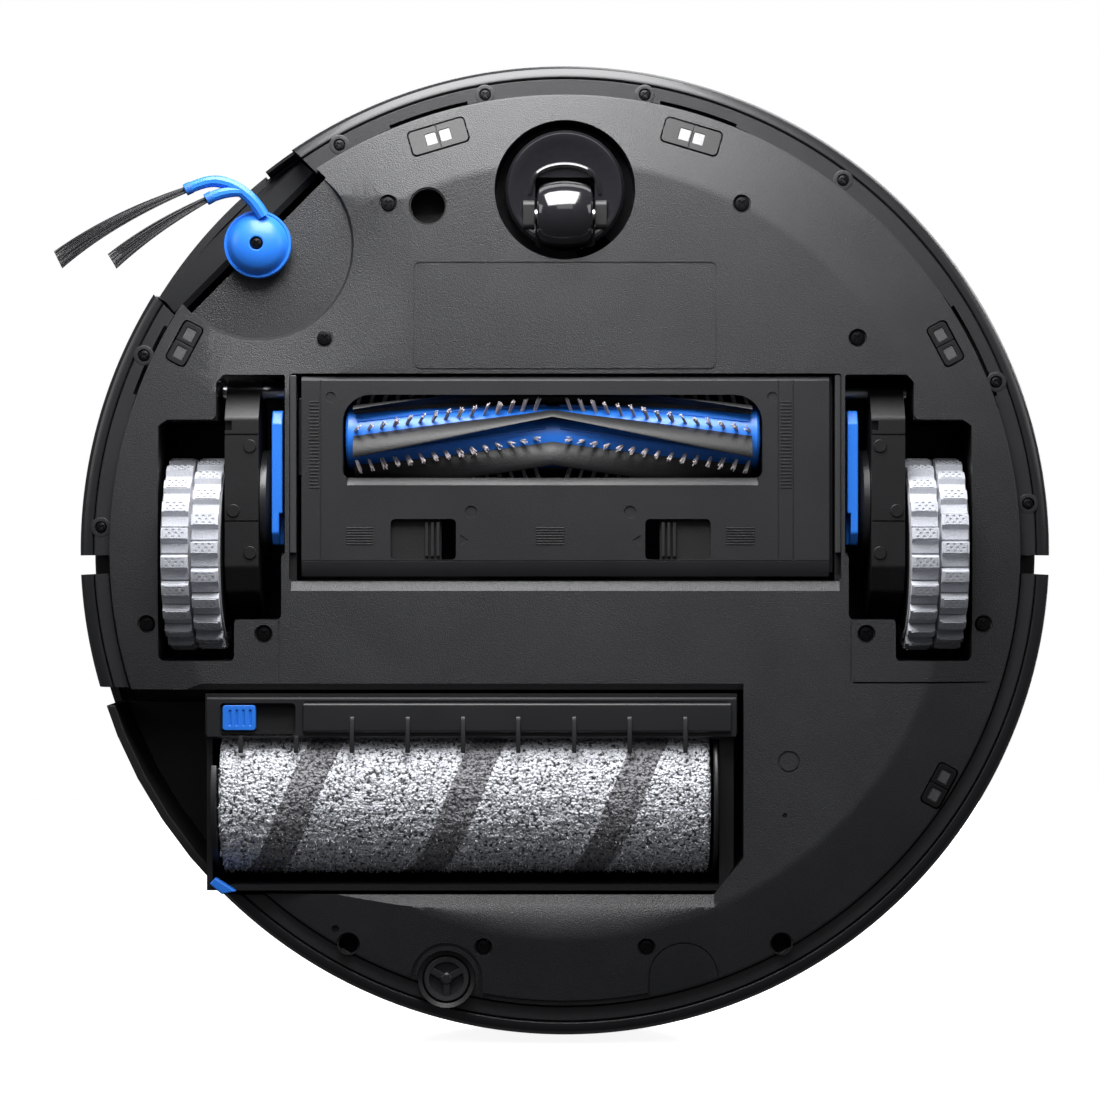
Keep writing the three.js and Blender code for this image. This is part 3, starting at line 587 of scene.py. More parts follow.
@dataclass(frozen=True)
class Pile:
    """White mop pile with grey bands that wind round the roller, and painted shade in the gaps between its
    clumps.
    """

    name: str
    centre: tuple[float, float, float]
    slot: str = "nap"
    pile: tuple[float, float, float] = (0.90, 0.92, 0.98)
    shadow: tuple[float, float, float] = (0.04, 0.04, 0.045)
    band: tuple[float, float, float] = (0.32, 0.32, 0.34)
    pitch: float = 57.5
    share: float = 0.215
    phase: float = 0.74
    slant: float = 1.15

    def build(self) -> bpy.types.Material:
        """Makes the material in the roller's own coordinates."""
        material = bpy.data.materials.new(self.name)
        material.use_nodes = True
        nodes = Nodes(material.node_tree)
        shader = material.node_tree.nodes["Principled BSDF"]
        place = nodes.add("ShaderNodeTexCoord")
        shift = nodes.add("ShaderNodeMapping")
        shift.inputs["Location"].default_value = [-c * MM for c in self.centre]
        nodes.link(place.outputs["Object"], shift.inputs["Vector"])
        parts = nodes.add("ShaderNodeSeparateXYZ")
        nodes.link(shift.outputs["Vector"], parts.inputs["Vector"])
        turn = nodes.add("ShaderNodeMath", operation="ARCTAN2")
        nodes.link(parts.outputs["Y"], turn.inputs[0])
        flip = nodes.add("ShaderNodeMath", operation="MULTIPLY")
        flip.inputs[1].default_value = -1.0
        nodes.link(parts.outputs["Z"], flip.inputs[0])
        nodes.link(flip.outputs[0], turn.inputs[1])
        wind = nodes.add("ShaderNodeMath", operation="DIVIDE")
        nodes.link(turn.outputs[0], wind.inputs[0])
        wind.inputs[1].default_value = 2 * math.pi / self.slant
        along = nodes.add("ShaderNodeMath", operation="MULTIPLY_ADD")
        nodes.link(parts.outputs["X"], along.inputs[0])
        along.inputs[1].default_value = 1 / (self.pitch * MM)
        nodes.link(wind.outputs[0], along.inputs[2])
        cycle = nodes.add("ShaderNodeMath", operation="ADD")
        nodes.link(along.outputs[0], cycle.inputs[0])
        cycle.inputs[1].default_value = self.phase
        whole = nodes.add("ShaderNodeMath", operation="FLOORED_MODULO")
        nodes.link(cycle.outputs[0], whole.inputs[0])
        whole.inputs[1].default_value = 1.0
        mask = nodes.add("ShaderNodeMath", operation="LESS_THAN")
        nodes.link(whole.outputs[0], mask.inputs[0])
        mask.inputs[1].default_value = self.share
        tufts = nodes.add("ShaderNodeTexVoronoi", feature="F1")
        tufts.inputs["Scale"].default_value = 950
        nodes.link(shift.outputs["Vector"], tufts.inputs["Vector"])
        clumps = nodes.add("ShaderNodeTexNoise")
        clumps.inputs["Scale"].default_value = 760
        clumps.inputs["Detail"].default_value = 4
        nodes.link(shift.outputs["Vector"], clumps.inputs["Vector"])
        # Painted shade: deep gaps between tufts and clumps are mixed towards the shadow colour.
        deep = nodes.add("ShaderNodeMath", operation="MULTIPLY_ADD")
        nodes.link(clumps.outputs["Fac"], deep.inputs[0])
        deep.inputs[1].default_value = 1.5
        nodes.link(tufts.outputs["Distance"], deep.inputs[2])
        dark = nodes.add("ShaderNodeMapRange")
        dark.inputs["From Min"].default_value = 1.28
        dark.inputs["From Max"].default_value = 1.62
        nodes.link(deep.outputs[0], dark.inputs["Value"])
        base = nodes.add("ShaderNodeMix", data_type="RGBA")
        nodes.link(mask.outputs[0], base.inputs["Factor"])
        base.inputs[6].default_value = (*self.pile, 1)
        base.inputs[7].default_value = (*self.band, 1)
        shaded = nodes.add("ShaderNodeMix", data_type="RGBA")
        nodes.link(dark.outputs["Result"], shaded.inputs["Factor"])
        nodes.link(base.outputs[2], shaded.inputs[6])
        shaded.inputs[7].default_value = (*self.shadow, 1)
        nodes.link(shaded.outputs[2], shader.inputs["Base Color"])
        bump = nodes.add("ShaderNodeBump", invert=True)
        bump.inputs["Strength"].default_value = 0.9
        bump.inputs["Distance"].default_value = 0.0012
        nodes.link(deep.outputs[0], bump.inputs["Height"])
        nodes.link(bump.outputs["Normal"], shader.inputs["Normal"])
        shader.inputs["Roughness"].default_value = 0.95
        shader.inputs["Sheen Weight"].default_value = 0.3
        return material


@dataclass(frozen=True)
class ClearPlastic:
    """Tinted see-through plastic."""

    name: str
    colour: tuple[float, float, float]
    roughness: float = 0.08
    slot: str = "gloss"

    def build(self, skin: bpy.types.NodeTree) -> bpy.types.Material:
        """Makes the material; the skin only varies its gloss."""
        material = Moulding(self.name, self.colour, self.colour, self.roughness, spread=0.05,
                            relief=0.03, coat=0.6).build(skin)
        shader = material.node_tree.nodes["Principled BSDF"]
        shader.inputs["Transmission Weight"].default_value = 0.35
        shader.inputs["IOR"].default_value = 1.49
        return material


class Workshop:
    """All materials, made once and handed out by name."""

    PALETTE = (
        Moulding("belly_plastic", (0.017, 0.0175, 0.019), (0.034, 0.035, 0.037), 0.40, 0.06,
                 2600, 0.42),
        Moulding("fine_plastic", (0.015, 0.0155, 0.017), (0.023, 0.0235, 0.025), 0.40, 0.06,
                 3000, 0.18),
        Moulding("satin_rim", (0.014, 0.0145, 0.016), (0.019, 0.0195, 0.021), 0.30, 0.05,
                 2600, 0.08, coat=0.1),
        Moulding("dark_plastic", (0.004, 0.004, 0.0048), (0.007, 0.007, 0.0078), 0.42, 0.08,
                 2200, 0.12, slot="black"),
        # Painted shade: near-black for the insides of holes, windows and the gap under the guard.
        Moulding("inner_black", (0.0025, 0.0025, 0.003), (0.005, 0.005, 0.0055), 0.6, 0.1,
                 1800, 0.15, slot="black"),
        Moulding("piano_black", (0.011, 0.011, 0.013), (0.016, 0.016, 0.019), 0.10, 0.06,
                 1200, 0.02, coat=0.8, slot="gloss"),
        Moulding("window_black", (0.010, 0.010, 0.012), (0.014, 0.014, 0.016), 0.08, 0.05,
                 900, 0.02, coat=0.7, slot="gloss"),
        Moulding("blue_plastic", (0.018, 0.17, 0.74), (0.026, 0.21, 0.82), 0.34, 0.08,
                 2600, 0.06, coat=0.1, slot="blue"),
        # Painted shade: a darker copy of blue_plastic for the core's ridges and the side brush's sleeves.
        Moulding("blue_shade", (0.018, 0.13, 0.55), (0.026, 0.17, 0.62), 0.45, 0.08,
                 2600, 0.06, slot="blue"),
        Moulding("tread_rubber", (0.48, 0.50, 0.55), (0.62, 0.63, 0.68), 0.62, 0.12,
                 1900, 0.25, slot="tread"),
        # Painted shade: a darker copy of the tread rubber for the carcass between the blocks.
        Moulding("tread_base", (0.22, 0.225, 0.24), (0.30, 0.305, 0.32), 0.70, 0.1,
                 1500, 0.2, slot="tread"),
        Moulding("black_rubber", (0.005, 0.005, 0.006), (0.012, 0.012, 0.013), 0.42, 0.14,
                 2100, 0.2, slot="rubber"),
        Moulding("brush_hair", (0.50, 0.45, 0.46), (0.66, 0.60, 0.61), 0.6, 0.1,
                 3000, 0.1, slot="bristle"),
        Moulding("dark_hair", (0.045, 0.045, 0.048), (0.085, 0.085, 0.09), 0.5, 0.12,
                 3000, 0.08, slot="bristle"),
        Moulding("screw_steel", (0.012, 0.012, 0.013), (0.024, 0.024, 0.026), 0.34, 0.15,
                 2500, 0.1, metal=0.9, slot="steel"),
        Moulding("bright_steel", (0.55, 0.55, 0.57), (0.68, 0.68, 0.70), 0.28, 0.15,
                 2500, 0.08, metal=1.0, slot="steel"),
        Moulding("window_grey", (0.085, 0.085, 0.09), (0.12, 0.12, 0.125), 0.16, 0.05,
                 1200, 0.02, coat=0.5, slot="lens"),
        # Painted highlight: a lighter copy of the belly plastic for the brush bay's side walls, where they
        # catch the light.
        Moulding("bay_light", (0.030, 0.031, 0.033), (0.040, 0.041, 0.043), 0.40, 0.08,
                 3200, 0.06),
        Moulding("frame_plastic", (0.012, 0.0125, 0.014), (0.019, 0.0195, 0.021), 0.34, 0.1,
                 3300, 0.07),
        Moulding("board_green", (0.02, 0.10, 0.045), (0.03, 0.16, 0.06), 0.4, 0.1,
                 700, 0.2, slot="cell"),
        Moulding("cell_wrap", (0.03, 0.06, 0.18), (0.04, 0.08, 0.24), 0.3, 0.1,
                 500, 0.1, slot="cell"),
        Moulding("filter_paper", (0.55, 0.54, 0.50), (0.70, 0.69, 0.65), 0.9, 0.05,
                 900, 0.4, slot="clear"),
        ClearPlastic("bin_smoke", (0.10, 0.10, 0.11)),
        ClearPlastic("tank_clear", (0.55, 0.60, 0.66), slot="clear"),
    )

    def __init__(self) -> None:
        """Builds the shared skin and every finish of the palette."""
        self.skin = moulded_group()
        self.slots: dict[str, str] = {}
        self.finishes: dict[str, bpy.types.Material] = {}
        for finish in self.PALETTE:
            self.finishes[finish.name] = finish.build(self.skin)
            self.slots[finish.name] = finish.slot

    def keep(self, name: str, material: bpy.types.Material, slot: str) -> None:
        """Adds a finish that was built elsewhere."""
        self.finishes[name] = material
        self.slots[name] = slot

    def paint(self, piece: bpy.types.Object, finish: str) -> bpy.types.Object:
        """Gives a piece one finish."""
        piece.data.materials.clear()
        piece.data.materials.append(self.finishes[finish])
        return piece

    def place(self, piece: bpy.types.Object, body: str, finish: str, stands_for: Sequence[str] = (),
              angle: float = 32) -> bpy.types.Object:
        """Shades, paints and mounts a finished piece.

        Args:
            piece: The finished mesh object.
            body: Body of the record that it rides on.
            finish: Name of its finish.
            stands_for: CAD nodes that it replaces.
            angle: Sharpest edge in degrees that is still shaded smoothly.

        Returns:
            The same object.
        """
        smooth(piece, angle)
        if len(piece.data.polygons) < 60000:
            apply_modifier(piece, "WEIGHTED_NORMAL", mode="FACE_AREA", keep_sharp=True)
        self.paint(piece, finish)
        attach(piece, body)
        if stands_for:
            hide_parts(*stands_for)
        return piece


def node_span(node: str) -> tuple[Vector, Vector]:
    """Lowest and highest corner of a CAD node in millimetres."""
    low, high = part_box(node)
    return Vector(low) / MM, Vector(high) / MM


# ---------------------------------------------------------------- shared outlines
@dataclass
class Body:
    """Driving sizes of the round body and the bays in its belly."""

    radius: float = 176.5
    belly: float = 9.0
    deck: float = 84.0
    crease: float = 137.7
    rim: float = 162.5
    rim_z: float = 15.2
    side_brush: tuple[float, float] = (-109.1, -108.5)
    socket: tuple[float, float] = (0.0, -128.1)
    bay_x: tuple[float, float] = (-97.9, 98.1)
    bay_y: tuple[float, float] = (-62.7, 10.9)
    mop_y: tuple[float, float] = (49.6, 122.5)
    mop_right: float = 63.4

    def well(self, side: int) -> Outline:
        """Outline of a wheel well; side is -1 for left and 1 for right."""
        left = [(-144.8, 39.6), (-144.8, -44.3), (-141.6, -46.4), (-125.0, -46.4), (-123.9, -47.8),
                (-123.9, -59.5), (-121.4, -62.3), (-99.4, -62.3), (-99.4, 1.1), (-100.7, 2.4),
                (-100.7, 24.8), (-117.4, 24.8), (-117.4, 39.6)]
        rounded = filleted(left, [2.2, 1.2, 1.2, 1.0, 0.8, 1.6, 1.6, 1.0, 0.8, 0.8, 2.0, 1.5, 2.0], 3)
        return rounded if side < 0 else [(-x, y) for x, y in reversed(rounded)]

    def mop_bay(self) -> Outline:
        """Outline of the mop bay, open towards the left side of the robot."""
        return [(-180, self.mop_y[0]), (self.mop_right, self.mop_y[0]), (self.mop_right, 109.4),
                (52.9, self.mop_y[1]), (-180, self.mop_y[1])]


def polar(radius: float, degrees: float, z: float = 0.0) -> tuple[float, float, float]:
    """Point on a circle round the body's axis."""
    angle = math.radians(degrees)
    return (radius * math.cos(angle), radius * math.sin(angle), z)


def sweep(name: str, section: Outline, start: float, end: float, steps: int) -> bpy.types.Object:
    """Turns a closed (radius, height) section about the body's axis from start to end degrees."""
    corners = [polar(r, start, z) for r, z in section]
    piece = wire_loop(name, corners, "NGON")
    pick(piece)
    bpy.ops.object.mode_set(mode="EDIT")
    bpy.ops.mesh.select_all(action="SELECT")
    bpy.ops.mesh.spin(steps=steps, angle=math.radians(start - end), center=(0, 0, 0), axis=(0, 0, 1))
    bpy.ops.object.mode_set(mode="OBJECT")
    tidy_shell(piece)
    return piece


def cross_screw(name: str, centre: Point, radius: float, height: float) -> bpy.types.Object:
    """Pan-head screw with a cross recess, seen from below.

    Args:
        name: Name of the object.
        centre: Middle of the head's lowest face.
        radius: Head radius.
        height: Head height.

    Returns:
        The closed screw head.
    """
    x, y, z = centre
    dome = [(0, 0), (radius * 0.6, 0.05), (radius * 0.88, height * 0.22), (radius, height * 0.55),
            (radius, height), (0, height)]
    head = lathe(name, dome, centre, steps=32)
    for turn in (45, 135):
        arm = block("recess", (x - radius * 0.62, y - radius * 0.15, z - 1),
                    (x + radius * 0.62, y + radius * 0.15, z + height * 0.6))
        cut(head, copied(arm, "recess_turned", about("Z", turn, centre)))
        bpy.data.objects.remove(arm)
    return head


# ---------------------------------------------------------------- casing
def corner_block(distance: tuple[float, float], low: float, high: float,
                 heights: tuple[float, float], name: str = "corner") -> bpy.types.Object:
    """Box square to the line from the middle to the side brush.

    Args:
        distance: Nearest and farthest distance from the middle.
        low: Start along the chord.
        high: End along the chord.
        heights: Lowest and highest z.
        name: Name of the object.

    Returns:
        The box, turned into the front left corner.
    """
    body = Body()
    turn = math.degrees(math.atan2(body.side_brush[1], body.side_brush[0])) - 90
    box = block("square", (low, distance[0], heights[0]), (high, distance[1], heights[1]))
    turned = copied(box, name, about("Z", turn, (0, 0, 0)))
    bpy.data.objects.remove(box)
    return turned


@dataclass
class BellyCover:
    """The bottom cover with its bays, recesses, screws and sensors."""

    shop: Workshop
    body: Body = field(default_factory=Body)
    wall: float = 2.4
    cone: float = 54.0
    disc: float = 33.0
    screws: tuple[tuple[float, float], ...] = (
        (-62.8, -123), (62.8, -123), (103.9, -75.3), (-85.5, -75.3), (-149, 26.4),
        (-107, 29.8), (149, 26.4), (107, 29.8), (-29, 141.2), (29, 141.2))
    lenses: tuple[tuple[str, float, float, float, float, float], ...] = (
        ("cliff_lens_front_left", -45.1, -147.2, 20.5, 8.9, -16.5),
        ("cliff_lens_front_right", 45.1, -147.2, 20.5, 8.9, 16.5),
        ("cliff_lens_left", -135.5, -73.5, 7.4, 15.2, 28),
        ("cliff_lens_right", 135.5, -73.5, 7.4, 15.2, -28),
        ("cliff_lens_rear", 133.4, 84, 7.4, 15.2, 28))

    def surface(self, x: float, y: float) -> float:
        """Height of the outer belly face over a place."""
        slope = 6.2 / (self.body.rim - self.body.crease)
        return self.body.belly + max(0.0, (math.hypot(x, y) - self.body.crease) * slope)

    def pan(self) -> bpy.types.Object:
        """The turned skin with the pocket of the side brush, before the openings."""
        b, w = self.body, self.wall
        skin = lathe("belly_cover", [
            (0, b.belly), (b.crease - 1.6, b.belly), (b.crease, b.belly + 0.08),
            (b.crease + 1.6, b.belly + 0.4), (b.rim - 0.9, b.rim_z - 0.23), (b.rim, b.rim_z + 0.3),
            (b.rim, b.rim_z + w), (b.crease, b.belly + w), (0, b.belly + w)], steps=256)
        x, y = b.side_brush
        tub = rod("tub", self.cone + 2, (x, y, b.belly + 0.02), (x, y, b.belly + 9), 96)
        keep_common(tub, rod("inside", 153, (0, 0, 0), (0, 0, 90), 128))
        apply_modifier(skin, "BOOLEAN", operation="UNION", solver="EXACT", object=tub)
        bpy.data.objects.remove(tub)
        pocket = lathe("pocket", [(0, -5), (self.cone, -5), (self.cone, b.belly),
                                  (self.disc + 1, b.belly + 3), (self.disc, b.belly + 5.5),
                                  (0, b.belly + 5.5)], (x, y, 0), steps=128)
        slope = lathe("slope", [(b.crease, -5), (b.crease, b.belly - 0.01), (b.rim, b.rim_z - 0.01),
                                (b.rim + 20, b.rim_z), (b.rim + 20, -5)], steps=256)
        return cut(skin, pocket, slope)

    def bays(self) -> list[bpy.types.Object]:
        """Cutters of the large openings."""
        b = self.body
        sx, sy = b.side_brush
        reach = math.hypot(sx, sy)
        rear = b.mop_y[1]
        return [
            plate("cut_bay", rectangle(b.bay_x, (b.bay_y[0], b.bay_y[1] + 0.2), 1.2), (-2, 20)),
            side_plate("cut_chamfer", [(b.bay_y[1], 7), (b.bay_y[1] + 5.5, 7), (b.bay_y[1] + 3.6, 9),
                                       (b.bay_y[1], 11.6)], (b.bay_x[0] + 0.6, b.bay_x[1] - 0.6)),
            plate("cut_mop", b.mop_bay(), (-2, 20)),
            side_plate("cut_mop_front", [(b.mop_y[0] + 1, 7), (b.mop_y[0] - 2.6, 7),
                                         (b.mop_y[0] - 2.2, 9), (b.mop_y[0] + 1, 11.2)],
                       (-180, b.mop_right)),
            side_plate("cut_mop_rear", [(rear - 1, 7), (rear + 4.4, 7), (rear + 4.1, 9),
                                        (rear - 1, 11.8)], (-180, 53)),
            plate("cut_well_left", b.well(-1), (-2, 20)),
            plate("cut_well_right", b.well(1), (-2, 20)),
            rod("cut_socket", 25, (*b.socket, -2), (*b.socket, 20), 128),
            rod("cut_shaft", 4, (sx, sy, -2), (sx, sy, 30), 32),
            corner_block((reach, 300), -34, 34, (-5, 21)),
        ]

    def details(self) -> bpy.types.Object:
        """One cutter of all small recesses; none of them touch each other."""
        b = self.body
        shapes = [rod(f"cut_screw_{i}", 3.3, (x, y, 5), (x, y, self.surface(x, y) + 2.1), 32)
                  for i, (x, y) in enumerate(self.screws)]
        for x, y, radius, depth in ((-48.7, -122.1, 6.7, 6), (-77.2, 140.4, 4.2, 6),
                                    (77.2, 140.4, 4.2, 6), (78.0, 94.2, 0.9, 1.2),
                                    (-81.8, 135, 1.4, 2)):
            shapes.append(rod("cut_hole", radius, (x, y, 5), (x, y, self.surface(x, y) + depth), 48))
        for name, x, y, w, l, turn in self.lenses:
            outline = rectangle((x - w / 2 - 0.5, x + w / 2 + 0.5), (y - l / 2 - 0.5, y + l / 2 + 0.5), 1.8)
            slot = plate("slot", outline, (4, 22))
            shapes.append(copied(slot, "cut_" + name, about("Z", turn, (x, y, 0))))
            bpy.data.objects.remove(slot)
        shapes.append(rod("cut_port", 10.3, (-42.2, 152.8, 5), (-42.2, 152.8, 30), 64))
        return join("cut_details", shapes)

    def grooves(self) -> list[bpy.types.Object]:
        """Cutters of the fine panel lines."""
        b, deep = self.body, self.body.belly + 0.35
        outer = plate("cut_label", rectangle((-54, 54), (-102.3, -63.9), 2.8), (5, deep))
        inner = plate("label_inner", rectangle((-53.4, 53.4), (-101.7, -64.5), 2.3), (2, 20))
        cut(outer, inner)
        lines = [outer]
        for side in (-1, 1):
            x = sorted((side * 101.3, side * 101.9))
            lines.append(block("cut_line", (x[0], 25.4, 5), (x[1], 46.9, deep)))
            if side > 0:
                lines.append(block("cut_line", (102.2, 46.8, 5), (158, 47.4, deep + 5)))
        for name, x, half, top, wide in (("cut_arch_left", -42.1, 12.7, 152.4, 1.1),
                                         ("cut_arch_right", 42.2, 12.5, 152.0, 0.45)):
            arch = plate(name, self.arch_outline(x, half, top), (5, 30))
            cut(arch, plate("arch_core", self.arch_outline(x, half - wide, top), (0, 40)))
            follow = lathe("follow", [(0, -5), (b.rim + 14, -5), (b.rim + 14, b.rim_z + 4.1),
                                      (b.crease, b.belly + 0.6), (0, b.belly + 0.6)], steps=128)
            lines.append(keep_common(arch, follow))
        seam = sweep("cut_rear_line", [(160.6, 5), (162.4, 5), (162.4, 16.2), (160.6, 16.2)], 79.4, 100.4, 24)
        lines.append(seam)
        ring = lathe("cut_ring", [(3.2, 5), (4.0, 5), (4.0, deep + 0.2), (3.2, deep + 0.2)],
                     (79.5, 75.2, 0), steps=48)
        lines.append(ring)
        return lines

    def arch_outline(self, x: float, half: float, top: float) -> Outline:
        """Arch that is open towards the rear edge."""
        return [(x - half, 172)] + ring_outline((x, top), half, 180, 360, 24) + [(x + half, 172)]

    def build(self) -> bpy.types.Object:
        """Makes the belly skin."""
        skin = self.pan()
        cut(skin, *self.bays())
        cut(skin, self.details())
        cut(skin, *self.grooves())
        tidy_shell(skin)
        return bevel(skin, 0.32, 2, 32)

    def liner(self) -> bpy.types.Object:
        """The walls of the bays above the skin, dark inside."""
        b, w = self.body, self.wall
        walls = rework("bottom_cover", "bay_liner")
        slab = lathe("slab", [(0, -5), (185, -5), (185, b.rim_z + w + 0.3), (b.rim - 2, b.rim_z + w + 0.3),
                              (b.crease, b.belly + w + 0.05), (0, b.belly + w + 0.05)], steps=128)
        x, y = b.side_brush
        pocket = rod("pocket_room", self.cone + 2.4, (x, y, -5), (x, y, b.belly + 9.2), 96)
        return cut(walls, slab, pocket, corner_block((120, 300), -41, 45, (-5, 63)))

    def dress(self) -> None:
        """Builds, paints and mounts the cover, its screws, sensors and trim."""
        place, b = self.shop.place, self.body
        place(self.build(), "chassis", "belly_plastic", ["bottom_cover"])
        # Painted shade: the bay walls get the darker dark_plastic, standing in for the shade inside the bays.
        place(self.liner(), "chassis", "dark_plastic", ["bottom_cover"])
        heads = [cross_screw(f"head_{i}", (x, y, self.surface(x, y) + 1.2), 2.6, 0.9)
                 for i, (x, y) in enumerate(self.screws)]
        place(join("cover_screws", heads), "chassis", "screw_steel")
        for name, x, y, w, l, turn in self.lenses:
            low = self.surface(x, y) - 0.05
            rim = plate("rim", rectangle((x - w / 2, x + w / 2), (y - l / 2, y + l / 2), 1.5), (low, low + 3))
            long_x = w > l
            panes = []
            for side in (-1, 1):
                cx, cy = (x + side * 2.6, y) if long_x else (x, y + side * l * 0.24)
                hole = plate("hole", rectangle((cx - 2.0, cx + 2.0), (cy - 2.2, cy + 2.2), 0.4),
                             (low - 3, low + 0.8))
                panes.append(plate("pane", rectangle((cx - 1.9, cx + 1.9), (cy - 2.1, cy + 2.1), 0.3),
                                   (low + 0.3, low + 0.8)))
                cut(rim, hole)
            split = ((x - 0.2, y - l, low - 1), (x + 0.2, y + l, low + 0.5))
            if not long_x:
                split = ((x - w, y - 0.2, low - 1), (x + w, y + 0.2, low + 0.5))
            cut(rim, block("split", *split))
            bevel(rim, 0.25, 2)
            tilt = math.degrees(math.atan2(6.2, b.rim - b.crease)) if math.hypot(x, y) > b.crease else 0
            spin = about("Z", turn, (x, y, low))
            axis = Vector((-y, x, 0)).normalized()
            shift = Matrix.Translation(Vector((x, y, low)))
            lean = shift @ Matrix.Rotation(math.radians(-tilt), 4, axis) @ shift.inverted()
            frame_piece = copied(rim, name + "_frame", lean @ spin)
            window = copied(join("panes", panes), name + "_windows", lean @ spin)
            bpy.data.objects.remove(rim)
            bpy.data.objects.remove(bpy.data.objects["panes"])
            place(frame_piece, "chassis", "dark_plastic", [name])
            place(window, "chassis", "window_grey", [name])
        # Painted highlight: lighter strips along the brush bay's side walls stand in for the light that those
        # walls catch.
        for side, xs in (("left", (b.bay_x[0] + 0.1, b.bay_x[0] + 2.5)),
                         ("right", (b.bay_x[1] - 2.2, b.bay_x[1] - 0.1))):
            strip = block(f"bay_edge_{side}", (xs[0], b.bay_y[0] + 0.6, b.belly + 0.5),
                          (xs[1], 1.1, b.belly + 2.35))
            place(bevel(strip, 0.4, 3), "chassis", "bay_light")
        # Painted shade: near-black cups close the holes where there is only shade.
        cups = []
        for x, y, radius in ((-48.7, -122.1, 6.6), (-77.2, 140.4, 4.1), (77.2, 140.4, 4.1)):
            z = self.surface(x, y) + 0.6
            cups.append(lathe("cup", [(radius - 0.5, z), (radius - 0.05, z), (radius - 0.05, z + 13),
                                      (0, z + 13),
                                      (0, z + 12.4), (radius - 0.5, z + 12.4)], (x, y, 0), steps=48))
        place(join("hole_cups", cups), "chassis", "inner_black")
        self.port()

    def port(self) -> None:
        """Three-spoke water port in its round seat."""
        x, y = -42.2, 152.8
        seat = lathe("water_port_seat",
                     [(8.6, 13.2), (10.1, 12.4), (10.1, 19), (0, 19), (0, 17.2), (8.6, 17.2)],
                     (x, y, 0), steps=64)
        self.shop.place(seat, "chassis", "dark_plastic")
        wheel = lathe("water_port_wheel", [(6.2, 13.2), (7.7, 13.0), (8.1, 13.6), (8.1, 16.9), (0, 16.9),
                                           (0, 15.4),
                                           (6.0, 15.2)], (x, y, 0), steps=64)
        spokes = []
        for turn in (0, 120, 240):
            bar = block("bar", (x - 1.2, y, 13.3), (x + 1.2, y + 6.6, 15.6))
            spokes.append(copied(bevel(bar, 0.3, 2), "spoke", about("Z", turn, (x, y, 0))))
            bpy.data.objects.remove(bar)
        hub = lathe("hub", [(0, 12.9), (1.6, 13.0), (2.2, 13.6), (2.2, 15.6), (0, 15.6)], (x, y, 0), steps=32)
        self.shop.place(join("water_port_spokes", [*spokes, hub]), "chassis", "satin_rim", ["water_port"])
        self.shop.place(wheel, "chassis", "fine_plastic", ["water_port"])


